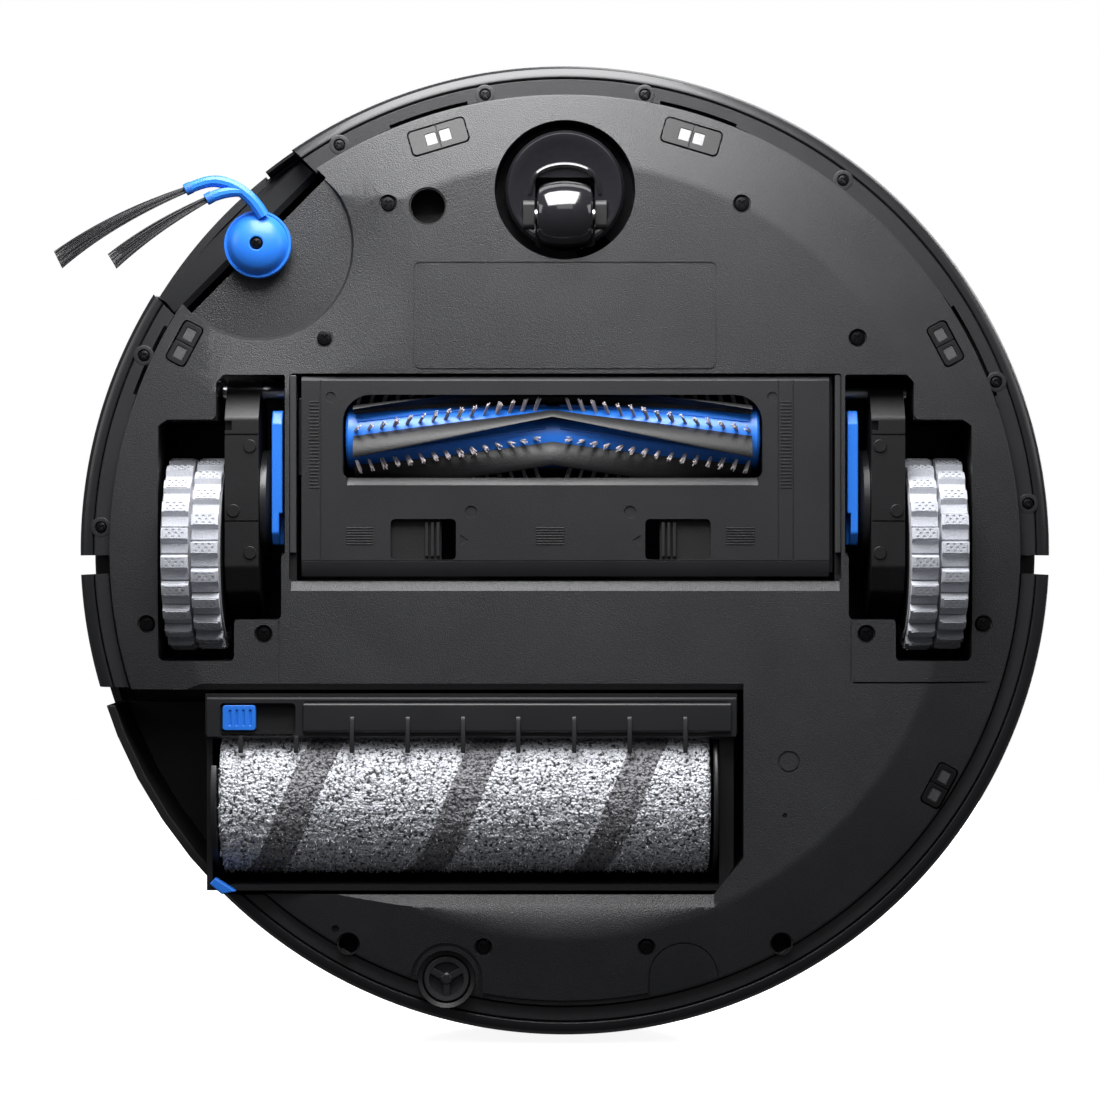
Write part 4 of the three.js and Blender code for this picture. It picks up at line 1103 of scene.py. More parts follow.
@dataclass
class Casing:
    """Bumper, side shell, top cover and lid."""

    shop: Workshop
    body: Body = field(default_factory=Body)
    ring_wall: float = 2.9
    strip_z: float = 17.8
    seam: float = 168.5
    end_y: float = 2.0
    shell_y: float = 9.0
    slots: tuple[tuple[float, float], ...] = ((245.9, 259.3), (280.4, 293.6), (326.2, 341.9), (198.3, 210.9))
    bumper_screws: tuple[tuple[float, float], ...] = (
        (-29, -165.2), (29, -165.2), (-81.9, -147), (101, -134.2), (-152.9, -70.6), (156.6, -61),
        (-168.4, -8.2), (168.1, -16.8))

    def lip_section(self, top: float, base: float) -> Outline:
        """Section of the outer ring: a soft lip that turns up into the side wall."""
        r, w = self.body.radius, self.ring_wall
        inner = self.seam + 0.25
        outer = [(inner, base + 0.5), (inner + 0.45, base), (r - 5.9, base + 0.1), (r - 4.3, base + 1.0),
                 (r - 3.2, base + 2.9), (r - 2.4, base + 6.6), (r - 1.5, base + 13), (r - 0.6, base + 20),
                 (r - 0.15, base + 27), (r, base + 34)]
        return outer + [(r, top - 2.5), (r - 1, top), (r - w, top), (r - w, base + 27), (r - 3.3, base + 7),
                        (r - 3.9, base + 5.2), (inner, base + 2.2)]

    def strip_section(self) -> Outline:
        """Section of the flat strip between the belly and the ring."""
        z = self.strip_z
        return [(161, z + 0.4), (161.4, z), (self.seam - 0.6, z), (self.seam - 0.2, z + 0.4),
                (self.seam - 0.2, z + 2.2), (161, z + 2.2)]

    def bumper(self) -> None:
        """The bumper with its lower strip, slots and screws."""
        end = math.degrees(math.asin(self.end_y / self.body.radius))
        start, stop = 180 - end, 360 + end
        ring = sweep("bumper_shell", self.lip_section(79, self.strip_z + 0.2), start, stop, 200)
        corner = lambda: corner_block((100, 300), -33, 39, (-5, 58))
        ends = []
        for side in (-1, 1):
            wedge = [(side * 184, 5), (side * 184, -6), (side * 176.9, -1.5), (side * 172.5, 5)]
            ends.append(plate(f"end_{side}", wedge if side > 0 else wedge[::-1], (5, 60)))
        cut(ring, corner(), *ends)
        tub = lathe("window_room", [(175.0, 45.7), (180, 45.7), (180, 66.3), (175.0, 66.3)], steps=200)
        keep_common(tub, block("front", (-110.3, -200, 0), (110.3, 0, 100)))
        cut(ring, tub)
        self.shop.place(bevel(ring, 0.3, 2, 30), "bumper", "satin_rim", ["bumper"])
        strip = sweep("bumper_strip", self.strip_section(), start, stop, 200)
        holes = []
        for low, high in self.slots:
            holes.append(sweep("slot", [(160, 10), (163.0, 10), (163.0, 22), (160, 22)], low, high, 16))
            holes.append(sweep("slot", [(162.9, 10), (164.2, 10), (164.2, 22), (162.9, 22)], low + 1.6,
                               high - 1.6, 16))
        cut(strip, corner(), *holes)
        cut(strip, join("screw_room", [rod("room", 2.2, (x * 0.985, y * 0.985, 10),
                                           (x * 0.985, y * 0.985, 18.6), 24)
                                       for x, y in self.bumper_screws]))
        self.shop.place(bevel(strip, 0.2, 2, 30), "bumper", "fine_plastic", ["bumper"])
        bumps = []
        for x, y in self.bumper_screws:
            bump = lathe("bump", [(2.3, self.strip_z - 0.12), (3.3, self.strip_z - 0.12), (3.6, self.strip_z),
                                  (3.6, self.strip_z + 1.9), (2.3, self.strip_z + 1.9)],
                                  (x * 0.985, y * 0.985, 0), steps=40)
            bumps.append(keep_common(bump, rod("inside", self.seam + 3.4, (0, 0, 0), (0, 0, 60), 128)))
        self.shop.place(join("bumper_bumps", bumps), "bumper", "fine_plastic", ["bumper"])
        heads = [cross_screw("head", (x * 0.985, y * 0.985, self.strip_z + 0.1), 2.0, 1.2)
                 for x, y in self.bumper_screws]
        self.shop.place(join("bumper_screws", heads), "bumper", "screw_steel")
        recess = side_plate("recess", [(158.5, 31), (160.5, 29.5), (173.0, 57.9), (170.5, 57.9)],
                            (-32.6, 38.6))
        turn = math.degrees(math.atan2(self.body.side_brush[1], self.body.side_brush[0])) - 90
        face = copied(recess, "bumper_recess", about("Z", turn, (0, 0, 0)))
        bpy.data.objects.remove(recess)
        keep_common(face, rod("inside", self.body.radius - self.ring_wall - 0.2, (0, 0, 0), (0, 0, 90), 200))
        self.shop.place(face, "bumper", "fine_plastic")
        band = sweep("bumper_window_panel", [(175.3, 46), (176.45, 46.3), (176.45, 65.7), (175.3, 66)],
                     231.6, 308.4, 90)
        self.shop.place(bevel(band, 0.15, 2, 30), "bumper", "window_black", ["bumper_window"])

    def side_shell(self) -> None:
        """The fixed ring round the back, open at the mop."""
        start = math.degrees(math.asin(self.shell_y / self.body.radius))
        shell = sweep("side_ring", self.lip_section(79.2, self.strip_z - 0.2), start, 180 - start, 200)
        strip = sweep("side_strip", [(r + (2 if r < 162 else 0), z - 0.4) for r, z in self.strip_section()],
                      start, 180 - start, 200)
        for piece in (shell, strip):
            mop_gap = block("mop_gap", (-200, self.body.mop_y[0] - 0.6, -5),
                            (-60, self.body.mop_y[1] + 0.6, 65.6))
            cut(piece, mop_gap)
        notch = [block("notch", (side * 71.4 - 2.4, 153.5, 10),
                       (side * 71.4 + 2.4, 158.6, 19)) for side in (-1, 1)]
        cut(strip, *notch)
        self.shop.place(bevel(shell, 0.35, 2, 30), "chassis", "satin_rim", ["side_shell"])
        self.shop.place(bevel(strip, 0.2, 2, 30), "chassis", "fine_plastic", ["side_shell"])

    def top(self) -> None:
        """Top cover with the lid and the power button."""
        r, deck, wall = self.body.radius, self.body.deck, 2.4
        cover = lathe("top_cover_shell", [
            (0, deck - wall), (r - 5.5, deck - wall), (r - 5.5, 79.6), (r - 0.6, 79.6), (r, 80.1),
            (r, deck - 2.6),
            (r - 0.7, deck - 1.4), (r - 2.2, deck - 0.5), (r - 5, deck), (0, deck)], steps=256)
        cut(cover, plate("lid_room", rectangle((-85, 85), (-100, 32), 5), (70, 100)),
            rod("button_room", 9.5, (0, -125, 70), (0, -125, 100), 96))
        ring = lathe("turret_groove", [(39.2, deck - 0.5), (40.4, deck - 0.5), (40.4, 90), (39.2, 90)],
                     (0, 76, 0), steps=128)
        cut(cover, ring)
        self.shop.place(bevel(cover, 0.3, 2, 32), "chassis", "fine_plastic", ["top_cover"])
        lid = plate("lid_panel", rectangle((-84.5, 84.5), (-99.5, 31.5), 4.6), (deck - wall, deck))
        dish = plate("finger_dish", rectangle((-22, 22), (-97.5, -86), 5), (deck - 1.1, deck + 2))
        cut(lid, dish)
        self.shop.place(bevel(lid, 0.5, 3, 32), "lid", "piano_black", ["lid"])
        button = lathe("power_button_cap",
                       [(0, deck + 0.25), (5.5, deck + 0.35), (8.2, deck + 0.6), (9, deck + 0.1),
                                            (9, deck - 1.6), (0, deck - 1.6)], (0, -125, 0), steps=96)
        mark = lathe("ring_mark", [(3.0, deck), (3.6, deck), (3.6, deck + 3), (3.0, deck + 3)],
                     (0, -125, 0), steps=64)
        cut(button, mark)
        self.shop.place(button, "power_button", "satin_rim", ["power_button"])

    def dress(self) -> None:
        """Builds all outer shells."""
        self.bumper()
        self.side_shell()
        self.top()


@dataclass
class Turret:
    """Sensor turret on the deck."""

    shop: Workshop
    middle: tuple[float, float] = (0.0, 76.0)
    radius: float = 38.0

    def dress(self) -> None:
        """Base with three columns, cap and the turning sensor."""
        x, y = self.middle
        base = lathe("turret_foot",
                     [(0, 84.3), (self.radius, 84.3), (self.radius, 86.4), (self.radius - 1, 87.3),
                                     (0, 87.3)], (x, y, 0), steps=128)
        self.shop.place(base, "chassis", "fine_plastic", ["turret_base"])
        columns = []
        for turn in (30, 150, 270):
            bar = plate("bar", rectangle((x - 5, x + 5), (y + self.radius - 5, y + self.radius - 1.5), 1.2),
                        (87.0, 95))
            columns.append(copied(bar, "column", about("Z", turn, (x, y, 0))))
            bpy.data.objects.remove(bar)
        self.shop.place(join("turret_columns", columns), "chassis", "fine_plastic", ["turret_base"])
        cap = lathe("turret_lid", [(0, 95.3), (self.radius, 95.3), (self.radius, 96.6), (self.radius - 0.7,
                                                                                         97.3),
                                   (self.radius - 2, 97.8), (self.radius - 8, 98), (0, 98)], (x, y, 0),
                                   steps=128)
        groove = lathe("groove", [(26, 97.7), (26.8, 97.7), (26.8, 99), (26, 99)], (x, y, 0), steps=96)
        cut(cap, groove)
        self.shop.place(cap, "chassis", "piano_black", ["turret_cap"])
        rotor = rework("lidar_rotor", "lidar_head")
        eye = [rod("eye", 1.7, (x + 14.2, y + k * 3.3, 91), (x + 25, y + k * 3.3, 91), 24) for k in (-1, 1)]
        self.shop.place(bevel(rotor, 0.4, 2), "lidar", "dark_plastic", ["lidar_rotor"])
        self.shop.place(join("lidar_eyes", eye), "lidar", "window_grey", ["lidar_rotor"])


@dataclass
class Insides:
    """What the covers hide: bin, filter, battery, board, fan and tanks."""

    shop: Workshop

    def dress(self) -> None:
        """Softens each piece and gives it a finish."""
        finishes = {"dust_bin": "bin_smoke", "battery": "cell_wrap", "main_board": "board_green",
                    "clean_water_tank": "tank_clear", "dirty_water_tank": "tank_clear"}
        for node, finish in finishes.items():
            piece = bevel(rework(node, node + "_body"), 0.8, 3)
            self.shop.place(piece, "chassis", finish, [node])
        low, high = node_span("bin_filter")
        pleats = []
        count = 20
        for i in range(count):
            step = (high.x - low.x) / count
            x = low.x + step * i
            fold = plate("fold", [(x, high.y - 0.2), (x + step * 0.5, low.y), (x + step, high.y - 0.2),
                                  (x + step, high.y), (x, high.y)], (low.z, high.z))
            pleats.append(fold)
        self.shop.place(join("filter_pleats", pleats), "chassis", "filter_paper", ["bin_filter"])
        low, high = node_span("suction_fan")
        x, y, r = (low.x + high.x) / 2, (low.y + high.y) / 2, (high.x - low.x) / 2
        fan = lathe("fan_housing", [(0, low.z), (r - 5, low.z), (r, low.z + 5), (r, high.z - 12),
                                    (r - 3, high.z - 9),
                                    (r - 3, high.z - 1), (r - 4, high.z), (0, high.z)], (x, y, 0), steps=96)
        self.shop.place(fan, "chassis", "dark_plastic", ["suction_fan"])
        low, high = node_span("side_brush_motor")
        x, y, r = (low.x + high.x) / 2, (low.y + high.y) / 2, (high.x - low.x) / 2
        can = lathe("side_motor_can", [(0, low.z), (r - 1, low.z), (r, low.z + 1), (r, high.z - 1.5),
                                       (r - 1.5, high.z),
                                       (0, high.z)], (x, y, 0), steps=64)
        self.shop.place(can, "chassis", "bright_steel", ["side_brush_motor"])


# ---------------------------------------------------------------- suction brush
@dataclass
class BrushGuard:
    """The frame over the suction brush, with its latches and end blocks."""

    shop: Workshop
    x: tuple[float, float] = (-93.5, 93.8)
    y: tuple[float, float] = (-61.6, 9.4)
    mouth_x: tuple[float, float] = (-78.9, 70.1)
    mouth_y: tuple[float, float] = (-55.1, -25.6)
    low: float = 9.0
    high: float = 11.2
    windows: tuple[tuple[float, float], ...] = ((-61.9, -38.7), (28.5, 51.7))
    latch_y: tuple[float, float] = (-11.0, 3.5)

    def frame(self) -> bpy.types.Object:
        """The plate with its mouth, windows, grooves and curved rear edge."""
        (x0, x1), (y0, y1) = self.x, self.y
        low, high = self.low, self.high
        section = [(y0 + 1.5, low), (3.9, low), (6.0, low + 0.35), (7.8, low + 0.9), (y1, low + 1.6),
                   (y1, high),
                   (y0, high), (y0, low + 1.5)]
        guard = side_plate("guard_frame", section, (x0, x1))
        mouth = [(self.mouth_x[0], self.mouth_y[0]), (self.mouth_x[1], self.mouth_y[0]),
                 (self.mouth_x[1], self.mouth_y[1]), (self.mouth_x[0], self.mouth_y[1])]
        cut(guard, plate("cut_mouth", filleted(mouth, [9.9, 9.9, 2.5, 2.5], 7), (0, 30)))
        for x in self.windows:
            cut(guard, plate("cut_window", rectangle(x, self.latch_y, 1.6), (0, 30)))
        ledge = side_plate("cut_ledge", [(-25.7, 7), (-23.0, 7), (-23.0, low + 0.25), (-24.2, low + 1.1),
                                         (-25.7, low + 1.3)],
                           (self.mouth_x[0] + 1.5, self.mouth_x[1] - 1.5))
        cut(guard, ledge)
        seams = [block("cut_seam", (x - 0.22, y0 - 1, 5),
                       (x + 0.22, 3.6, low + 0.35)) for x in (-86.7, 75.8, 81.1)]
        seams.append(block("cut_seam", (x0 - 1, 3.7, 5), (x1 + 1, 4.1, low + 0.3)))
        for seam in seams:
            cut(guard, seam)
        dots = [rod("cut_dot", 1.8, (x, -54.3, 5), (x, -54.3, low + 0.4), 32) for x in (-83.2, 73.6)]
        dots += [rod("cut_dot", 2.2, (x, -13.5, 5), (x, -13.5, low + 0.5), 32) for x in (-33.3, 23.1)]
        cut(guard, join("dots", dots))
        arrows = [plate("arrow", [(-37.2, -5.4), (-34.2, -3.5), (-37.2, -1.6)], (5, low + 0.3)),
                  plate("arrow", [(27.0, -5.4), (27.0, -1.6), (24.0, -3.5)], (5, low + 0.3))]
        cut(guard, join("arrows", arrows))
        return bevel(guard, 0.25, 2, 30)

    def texture(self) -> bpy.types.Object:
        """Raised grip pads and strips made of fine ribs."""
        ribs = []
        for x0, x1 in ((-77.7, -68.0), (-10.3, -0.2), (57.3, 67.3)):
            for i in range(7):
                y = -8.0 + i * 0.95
                ribs.append(block("rib", (x0, y, self.low - 0.18), (x1, y + 0.5, self.low + 0.3)))
        for x0, x1, y0, y1 in ((-90.8, -87.3, -52.8, -21.2), (76.5, 80.4, -52.8, -21.2)):
            for i in range(26):
                y = y0 + i * (y1 - y0) / 26
                ribs.append(block("rib", (x0, y, self.low - 0.15), (x1, y + 0.6, self.low + 0.3)))
        return bevel(join("guard_ribs", ribs), 0.1, 1)

    def latches(self) -> None:
        """Sliding latches: a slab under the plate and a grip with ridges."""
        for name, (x0, x1), outward in (("guard_latch_left", self.windows[0], -1),
                                        ("guard_latch_right", self.windows[1], 1)):
            inner = x1 - 5.2 if outward < 0 else x0 + 5.2
            y0, y1 = self.latch_y
            slab = plate("slab", rectangle(sorted((inner, inner + outward * 26)), (y0 - 1.5, y1 + 1.5), 1.0),
                         (self.high + 0.3, self.high + 2))
            ridges = []
            for i in range(3):
                x = inner + outward * (0.6 + i * 2.0)
                ridges.append(block("ridge", (min(x, x + outward * 1.2), y0 + 1.2, self.low + 0.7 + i * 0.25),
                                    (max(x, x + outward * 1.2), y1 - 1.2, self.high + 0.4)))
            body = join(name + "_slide", [bevel(slab, 0.25, 2)])
            # Painted shade: the slide under the plate, seen through the windows, is near-black.
            self.shop.place(body, name, "inner_black", [name])
            self.shop.place(bevel(join(name + "_grip", ridges), 0.3, 2), name, "fine_plastic", [name])

    def dress(self) -> None:
        """Builds the guard, latches and end blocks."""
        self.shop.place(self.frame(), "brush_guard", "fine_plastic", ["brush_guard"])
        self.shop.place(self.texture(), "brush_guard", "dark_plastic", ["brush_guard"])
        self.latches()
        for node in ("brush_bearing", "brush_gearbox"):
            piece = bevel(rework(node, node + "_housing"), 0.6, 2)
            self.shop.place(piece, "chassis", "dark_plastic", [node])


@dataclass
class MainBrush:
    """Blue core with rubber chevron blades and rows of bristle tufts."""

    shop: Workshop
    x: tuple[float, float] = (-76.3, 67.6)
    y: float = -40.3
    z: float = 21.0
    core: float = 11.5
    tip: float = 17.2
    blades: int = 6
    twist: float = -0.89
    rows: int = 6
    phase: float = -0.74

    def middle(self) -> float:
        """Place of the chevron's point along the brush."""
        return (self.x[0] + self.x[1]) / 2

    def at(self, x: float, radius: float, angle: float) -> tuple[float, float, float]:
        """Point on the brush from a place along it, a radius and an angle from the belly side."""
        return (x, self.y + radius * math.sin(angle), self.z - radius * math.cos(angle))

    def angle(self, x: float, start: float) -> float:
        """Angle of a chevron that starts at an angle in the middle of the brush."""
        half = (self.x[1] - self.x[0]) / 2
        return start - self.twist * abs(x - self.middle()) / half

    def dress(self) -> None:
        """Builds the core, sleeve, blades and tufts."""
        x0, x1 = self.x
        centre = (0, self.y, self.z)
        core = lathe("brush_roller_core", [
            (0, x0 - 4), (3, x0 - 4), (3, x0 - 1.5), (self.core - 0.8, x0 - 1.5), (self.core, x0 - 0.7),
            (self.core, x1 + 0.7), (self.core - 0.8, x1 + 1.5), (3.4, x1 + 1.5), (3.4, x1 + 4), (0, x1 + 4)],
            centre, Axis.X, 64)
        self.shop.place(core, "main_brush", "blue_plastic", ["brush_core"])
        sleeve = []
        for blade in range(self.blades):
            start = 2 * math.pi * blade / self.blades + self.phase
            sleeve.append(self.solid_fin(f"fin_{blade}", start))
        self.shop.place(join("brush_rubber_blades", sleeve), "main_brush", "black_rubber", ["brush_blades"])
        ridges = []
        for row in range(self.blades):
            start = 2 * math.pi * (row + 0.42) / self.blades + self.phase
            for side in (-1, 1):
                points = []
                for i in range(13):
                    x = self.middle() + side * (2.5 + i * (self.x[1] - self.middle() - 5) / 12)
                    points.append(self.at(x, self.core + 0.15, self.angle(x, start)))
                ridges.append(tube("ridge", points, 0.55, 8))
        # Painted shade: the ridges get the darker blue.
        self.shop.place(join("brush_core_ridges", ridges), "main_brush", "blue_shade", ["brush_core"])
        self.shop.place(self.tufts(), "main_brush", "brush_hair", ["brush_blades"])

    def solid_fin(self, name: str, start: float) -> bpy.types.Object:
        """One chevron blade as a closed solid, swept from end to end of the brush."""
        section = [(self.core + 0.05, -1.7), (self.core + 1.2, -1.15), (self.core + 3.0, -0.8),
                   (self.tip - 0.8, -0.6), (self.tip, -0.3), (self.tip, 0.3), (self.tip - 0.8, 0.6),
                   (self.core + 3.0, 0.8), (self.core + 1.2, 1.15), (self.core + 0.05, 1.7)]
        x0, x1 = self.x[0] + 1.2, self.x[1] - 1.2
        steps = 96
        loop = wire_loop(name, [(x0, r, s) for r, s in section], "NGON")
        pick(loop)
        bpy.ops.object.mode_set(mode="EDIT")
        bpy.ops.mesh.select_all(action="SELECT")
        for _ in range(steps):
            bpy.ops.mesh.extrude_region_move(
                TRANSFORM_OT_translate={"value": ((x1 - x0) / steps * MM, 0, 0)})
        bpy.ops.object.mode_set(mode="OBJECT")

        def bend(point: Vector) -> Vector:
            lean = 0.34 * ((point.y - self.core) / 6) ** 2
            angle = self.angle(point.x, start) + point.z / point.y + lean
            return Vector(self.at(point.x, point.y, angle))

        reshaped(loop, bend)
        tidy_shell(loop)
        return loop

    def tufts(self) -> bpy.types.Object:
        """Bundles of bristles in rows that follow the blades."""
        dice = random.Random(4)
        strands = []
        half = (self.x[1] - self.x[0]) / 2
        strand = rod("strand", 0.26, (0, 0, 0), (0, 0, 1), 5, 0.2)
        for row in range(self.rows):
            start = 2 * math.pi * (row + 0.70) / self.rows + self.phase
            for side in (-1, 1):
                for i in range(15):
                    x = self.middle() + side * (6.5 + i * (half - 8.5) / 14)
                    angle = self.angle(x, start)
                    for k in range(9):
                        dx, da = dice.uniform(-0.45, 0.45), dice.uniform(-0.035, 0.035)
                        foot = Vector(self.at(x + dx, self.core - 0.3, angle + da))
                        reach = self.tip - dice.uniform(0.5, 0.9)
                        head = Vector(self.at(x + dx * 1.6 - side * 1.6, reach, angle + da * 1.6))
                        strands.append((foot, head))
        moves = []
        for foot, head in strands:
            reach = head - foot
            turn = reach.to_track_quat("Z", "Y").to_matrix().to_4x4()
            moves.append(Matrix.Translation(foot) @ turn @ Matrix.Diagonal((1, 1, reach.length, 1)))
        return scattered("brush_bristles", strand, moves)


# ---------------------------------------------------------------- drive
@dataclass
class DriveUnit:
    """Sprung arm with gearbox, blue hinge plate and wheel on one side."""

    shop: Workshop
    side: int
    wheel_x: float = 132.5
    wheel_y: float = 1.4
    radius: float = 34.6
    width: float = 21.0
    base: float = 31.4
    blocks: int = 21
    pivot: tuple[float, float] = (-56.7, 30.0)

    @property
    def name(self) -> str:
        """Side as a word."""
        return "left" if self.side < 0 else "right"

    def across(self, near: float, far: float) -> tuple[float, float]:
        """The two x values, lowest first, at distances from the middle."""
        return tuple(sorted((self.side * near, self.side * far)))

    def hub(self) -> bpy.types.Object:
        """Wheel hub with a stepped, recessed outer face."""
        s, w = self.side, self.width / 2
        r = 28.3
        centre = (self.side * self.wheel_x, self.wheel_y, self.radius)
        out = [(0, -w - 0.4), (4, -w - 0.4), (4, -w), (r - 0.8, -w), (r, -w + 0.8), (r, w - 1.8),
               (r - 0.8, w - 1),
               (r - 4, w - 1), (r - 4.4, w - 3.6), (9.6, w - 4), (9, w - 1.6), (8, w - 1.2), (0, w - 1.2)]
        profile = [(a, h * s) for a, h in out]
        return lathe(f"{self.name}_wheel_rim", profile, centre, Axis.X, 96)

    def tread(self) -> bpy.types.Object:
        """Two rows of stepped rubber blocks, the second half a block further round."""
        centre = Vector((self.side * self.wheel_x, self.wheel_y, self.radius))
        template = []
        half, gap = self.width / 2, 0.5
        pitch = 2 * math.pi / self.blocks
        for row in (-1, 1):
            x0, x1 = sorted((row * gap, row * (half - 0.4)))
            tangent = self.base * pitch
            ramp = [(-tangent * 0.47, self.base - 0.9), (tangent * 0.47, self.base - 0.9),
                    (tangent * 0.45, self.radius - 0.5), (tangent * 0.02, self.radius - 0.35),
                    (-tangent * 0.10, self.base + 1.0), (-tangent * 0.47, self.base + 0.2)]
            lug = side_plate("lug", ramp, (x0, x1))
            top = plate("lug_top", rectangle((x0 + 0.9, x1 - 0.9), (tangent * 0.04, tangent * 0.42), 0.4, 2),
                        (self.radius - 1.2, self.radius - 0.1))
            bevel(lug, 0.25, 2)
            dimples = []
            for i in range(3):
                for k in range(3):
                    cx = (x0 + x1) / 2 + (i - 1) * 2.3 + (k % 2) * 1.1 - 0.5
                    cy = tangent * 0.23 + (k - 1) * 1.25
                    dimples.append(rod("dimple", 0.55, (cx, cy, self.radius - 0.55),
                                       (cx, cy, self.radius + 1), 6))
            cut(top, join("dimples", dimples))
            template.append((row, join("block", [lug, top])))
        parts = []
        for row, lug in template:
            for i in range(self.blocks):
                angle = (i + (0.5 if row > 0 else 0.0)) * 360 / self.blocks
                place = Matrix.Translation(centre) @ Matrix.Rotation(math.radians(angle), 4, "X")
                parts.append(copied(lug, "lug", place))
            bpy.data.objects.remove(lug)
        return join(f"{self.name}_tread_blocks", parts)

    def tyre(self) -> bpy.types.Object:
        """The tyre's carcass under the blocks."""
        w, centre = self.width / 2, (self.side * self.wheel_x, self.wheel_y, self.radius)
        profile = [(28.6, -w), (self.base - 0.8, -w), (self.base, -w + 0.7), (self.base, -0.9),
                   (self.base - 0.7, -0.5),
                   (self.base - 0.7, 0.5), (self.base, 0.9), (self.base, w - 0.7), (self.base - 0.8, w),
                   (28.6, w)]
        return lathe(f"{self.name}_tyre_carcass", profile, centre, Axis.X, 126)

    def arm(self) -> bpy.types.Object:
        """Gearbox case on the arm, with its parting lines and end boss."""
        x0, x1 = self.across(109, 121)
        outline = filleted([(-61.2, 27), (-61.2, 33), (-52, 46), (-20, 60), (8, 60), (22, 48), (23.6, 34),
                            (15, 16),
                            (6, 11.5), (-47, 11.5), (-58, 20)], [3, 3, 4, 8, 8, 6, 6, 4, 3, 3, 4], 4)
        case = side_plate(f"{self.name}_arm_case", outline, (x0, x1))
        for y in (-41, -10.2):
            cut(case, block("line", (x0 - 1, y - 0.35, 5), (x1 + 1, y + 0.35, 12.1)))
        cut(case, side_plate("scallop", [(-46, 5), (-42.5, 5), (-42.5, 13.4), (-46, 12.4)],
                             (x0 - 1, x0 + 2.5)),
            rod("axle_room", 4.6, (self.side * 116.8, self.wheel_y, self.radius),
                (self.side * 123, self.wheel_y, self.radius), 48),
            rod("pin_room", 2.75, (x0 - 2, *self.pivot), (x1 + 2, *self.pivot), 32))
        bosses = [rod("boss", 2.3, (x, y, 10.9), (x, y, 13), 32)
                  for x, y in ((self.side * 112.0, -37), (self.side * 118, -14), (self.side * 112, 1))]
        return bevel(join(case.name, [bevel(case, 0.6, 3), *bosses]), 0.2, 1, 60)

    def dress(self) -> None:
        """Builds and mounts everything on this side."""
        s, name, place = self.side, self.name, self.shop.place
        swing, wheel = f"{name}_suspension", f"{name}_wheel"
        place(self.arm(), swing, "dark_plastic", [f"{name}_drive_arm"])
        c = (0, -16.7, 32)
        profile = [(0, s * 104.6), (15.5, s * 104.6), (16.1, s * 105.0), (17.6, s * 105.0), (18.6, s * 105.6),
                   (19.4, s * 106.6), (19.4, s * 108.7), (0, s * 108.7)]
        place(lathe(f"{name}_motor_cap", profile, c, Axis.X, 96), swing, "satin_rim", [f"{name}_motor_cover"])
        link = filleted([(-49.6, 14), (-49.6, 38), (-36, 44), (-8, 44), (-1.8, 30), (-1.8, 14), (-6, 10.5),
                         (-45, 10.5)],
                        [2, 3, 3, 4, 4, 2, 2, 2], 4)
        sheet = side_plate(f"{name}_blue_link", link, self.across(100.4, 104.2))
        cut(sheet, side_plate("bend", [(-13.6, 5), (-1, 5), (-1, 18), (-12.2, 18)],
                              self.across(100.3, 101.6)))
        place(bevel(sheet, 0.5, 3), swing, "blue_plastic", [f"{name}_hinge_plate"])
        pin = lathe(f"{name}_pivot_rod", [(0, s * 98.3), (1.9, s * 98.3), (2.4, s * 98.8), (2.4, s * 123.1),
                                          (1.9, s * 123.6), (0, s * 123.6)], (0, *self.pivot), Axis.X, 48)
        place(pin, swing, "bright_steel", [f"{name}_pivot_pin"])
        coil = []
        for i in range(5 * 16 + 1):
            turn = i / 16 * 2 * math.pi
            coil.append((s * 115 + 4.2 * math.cos(turn), -38 + i * 0.45, 65.5 + 4.2 * math.sin(turn)))
        place(tube(f"{name}_coil_spring", coil, 0.8, 12), swing, "bright_steel", [f"{name}_arm_spring"])
        place(self.hub(), wheel, "dark_plastic", [f"{name}_wheel_hub"])
        # Painted shade: the carcass between the blocks gets the darker tread colour.
        place(self.tyre(), wheel, "tread_base", [f"{name}_tyre"])
        place(self.tread(), wheel, "tread_rubber", [f"{name}_tyre"])


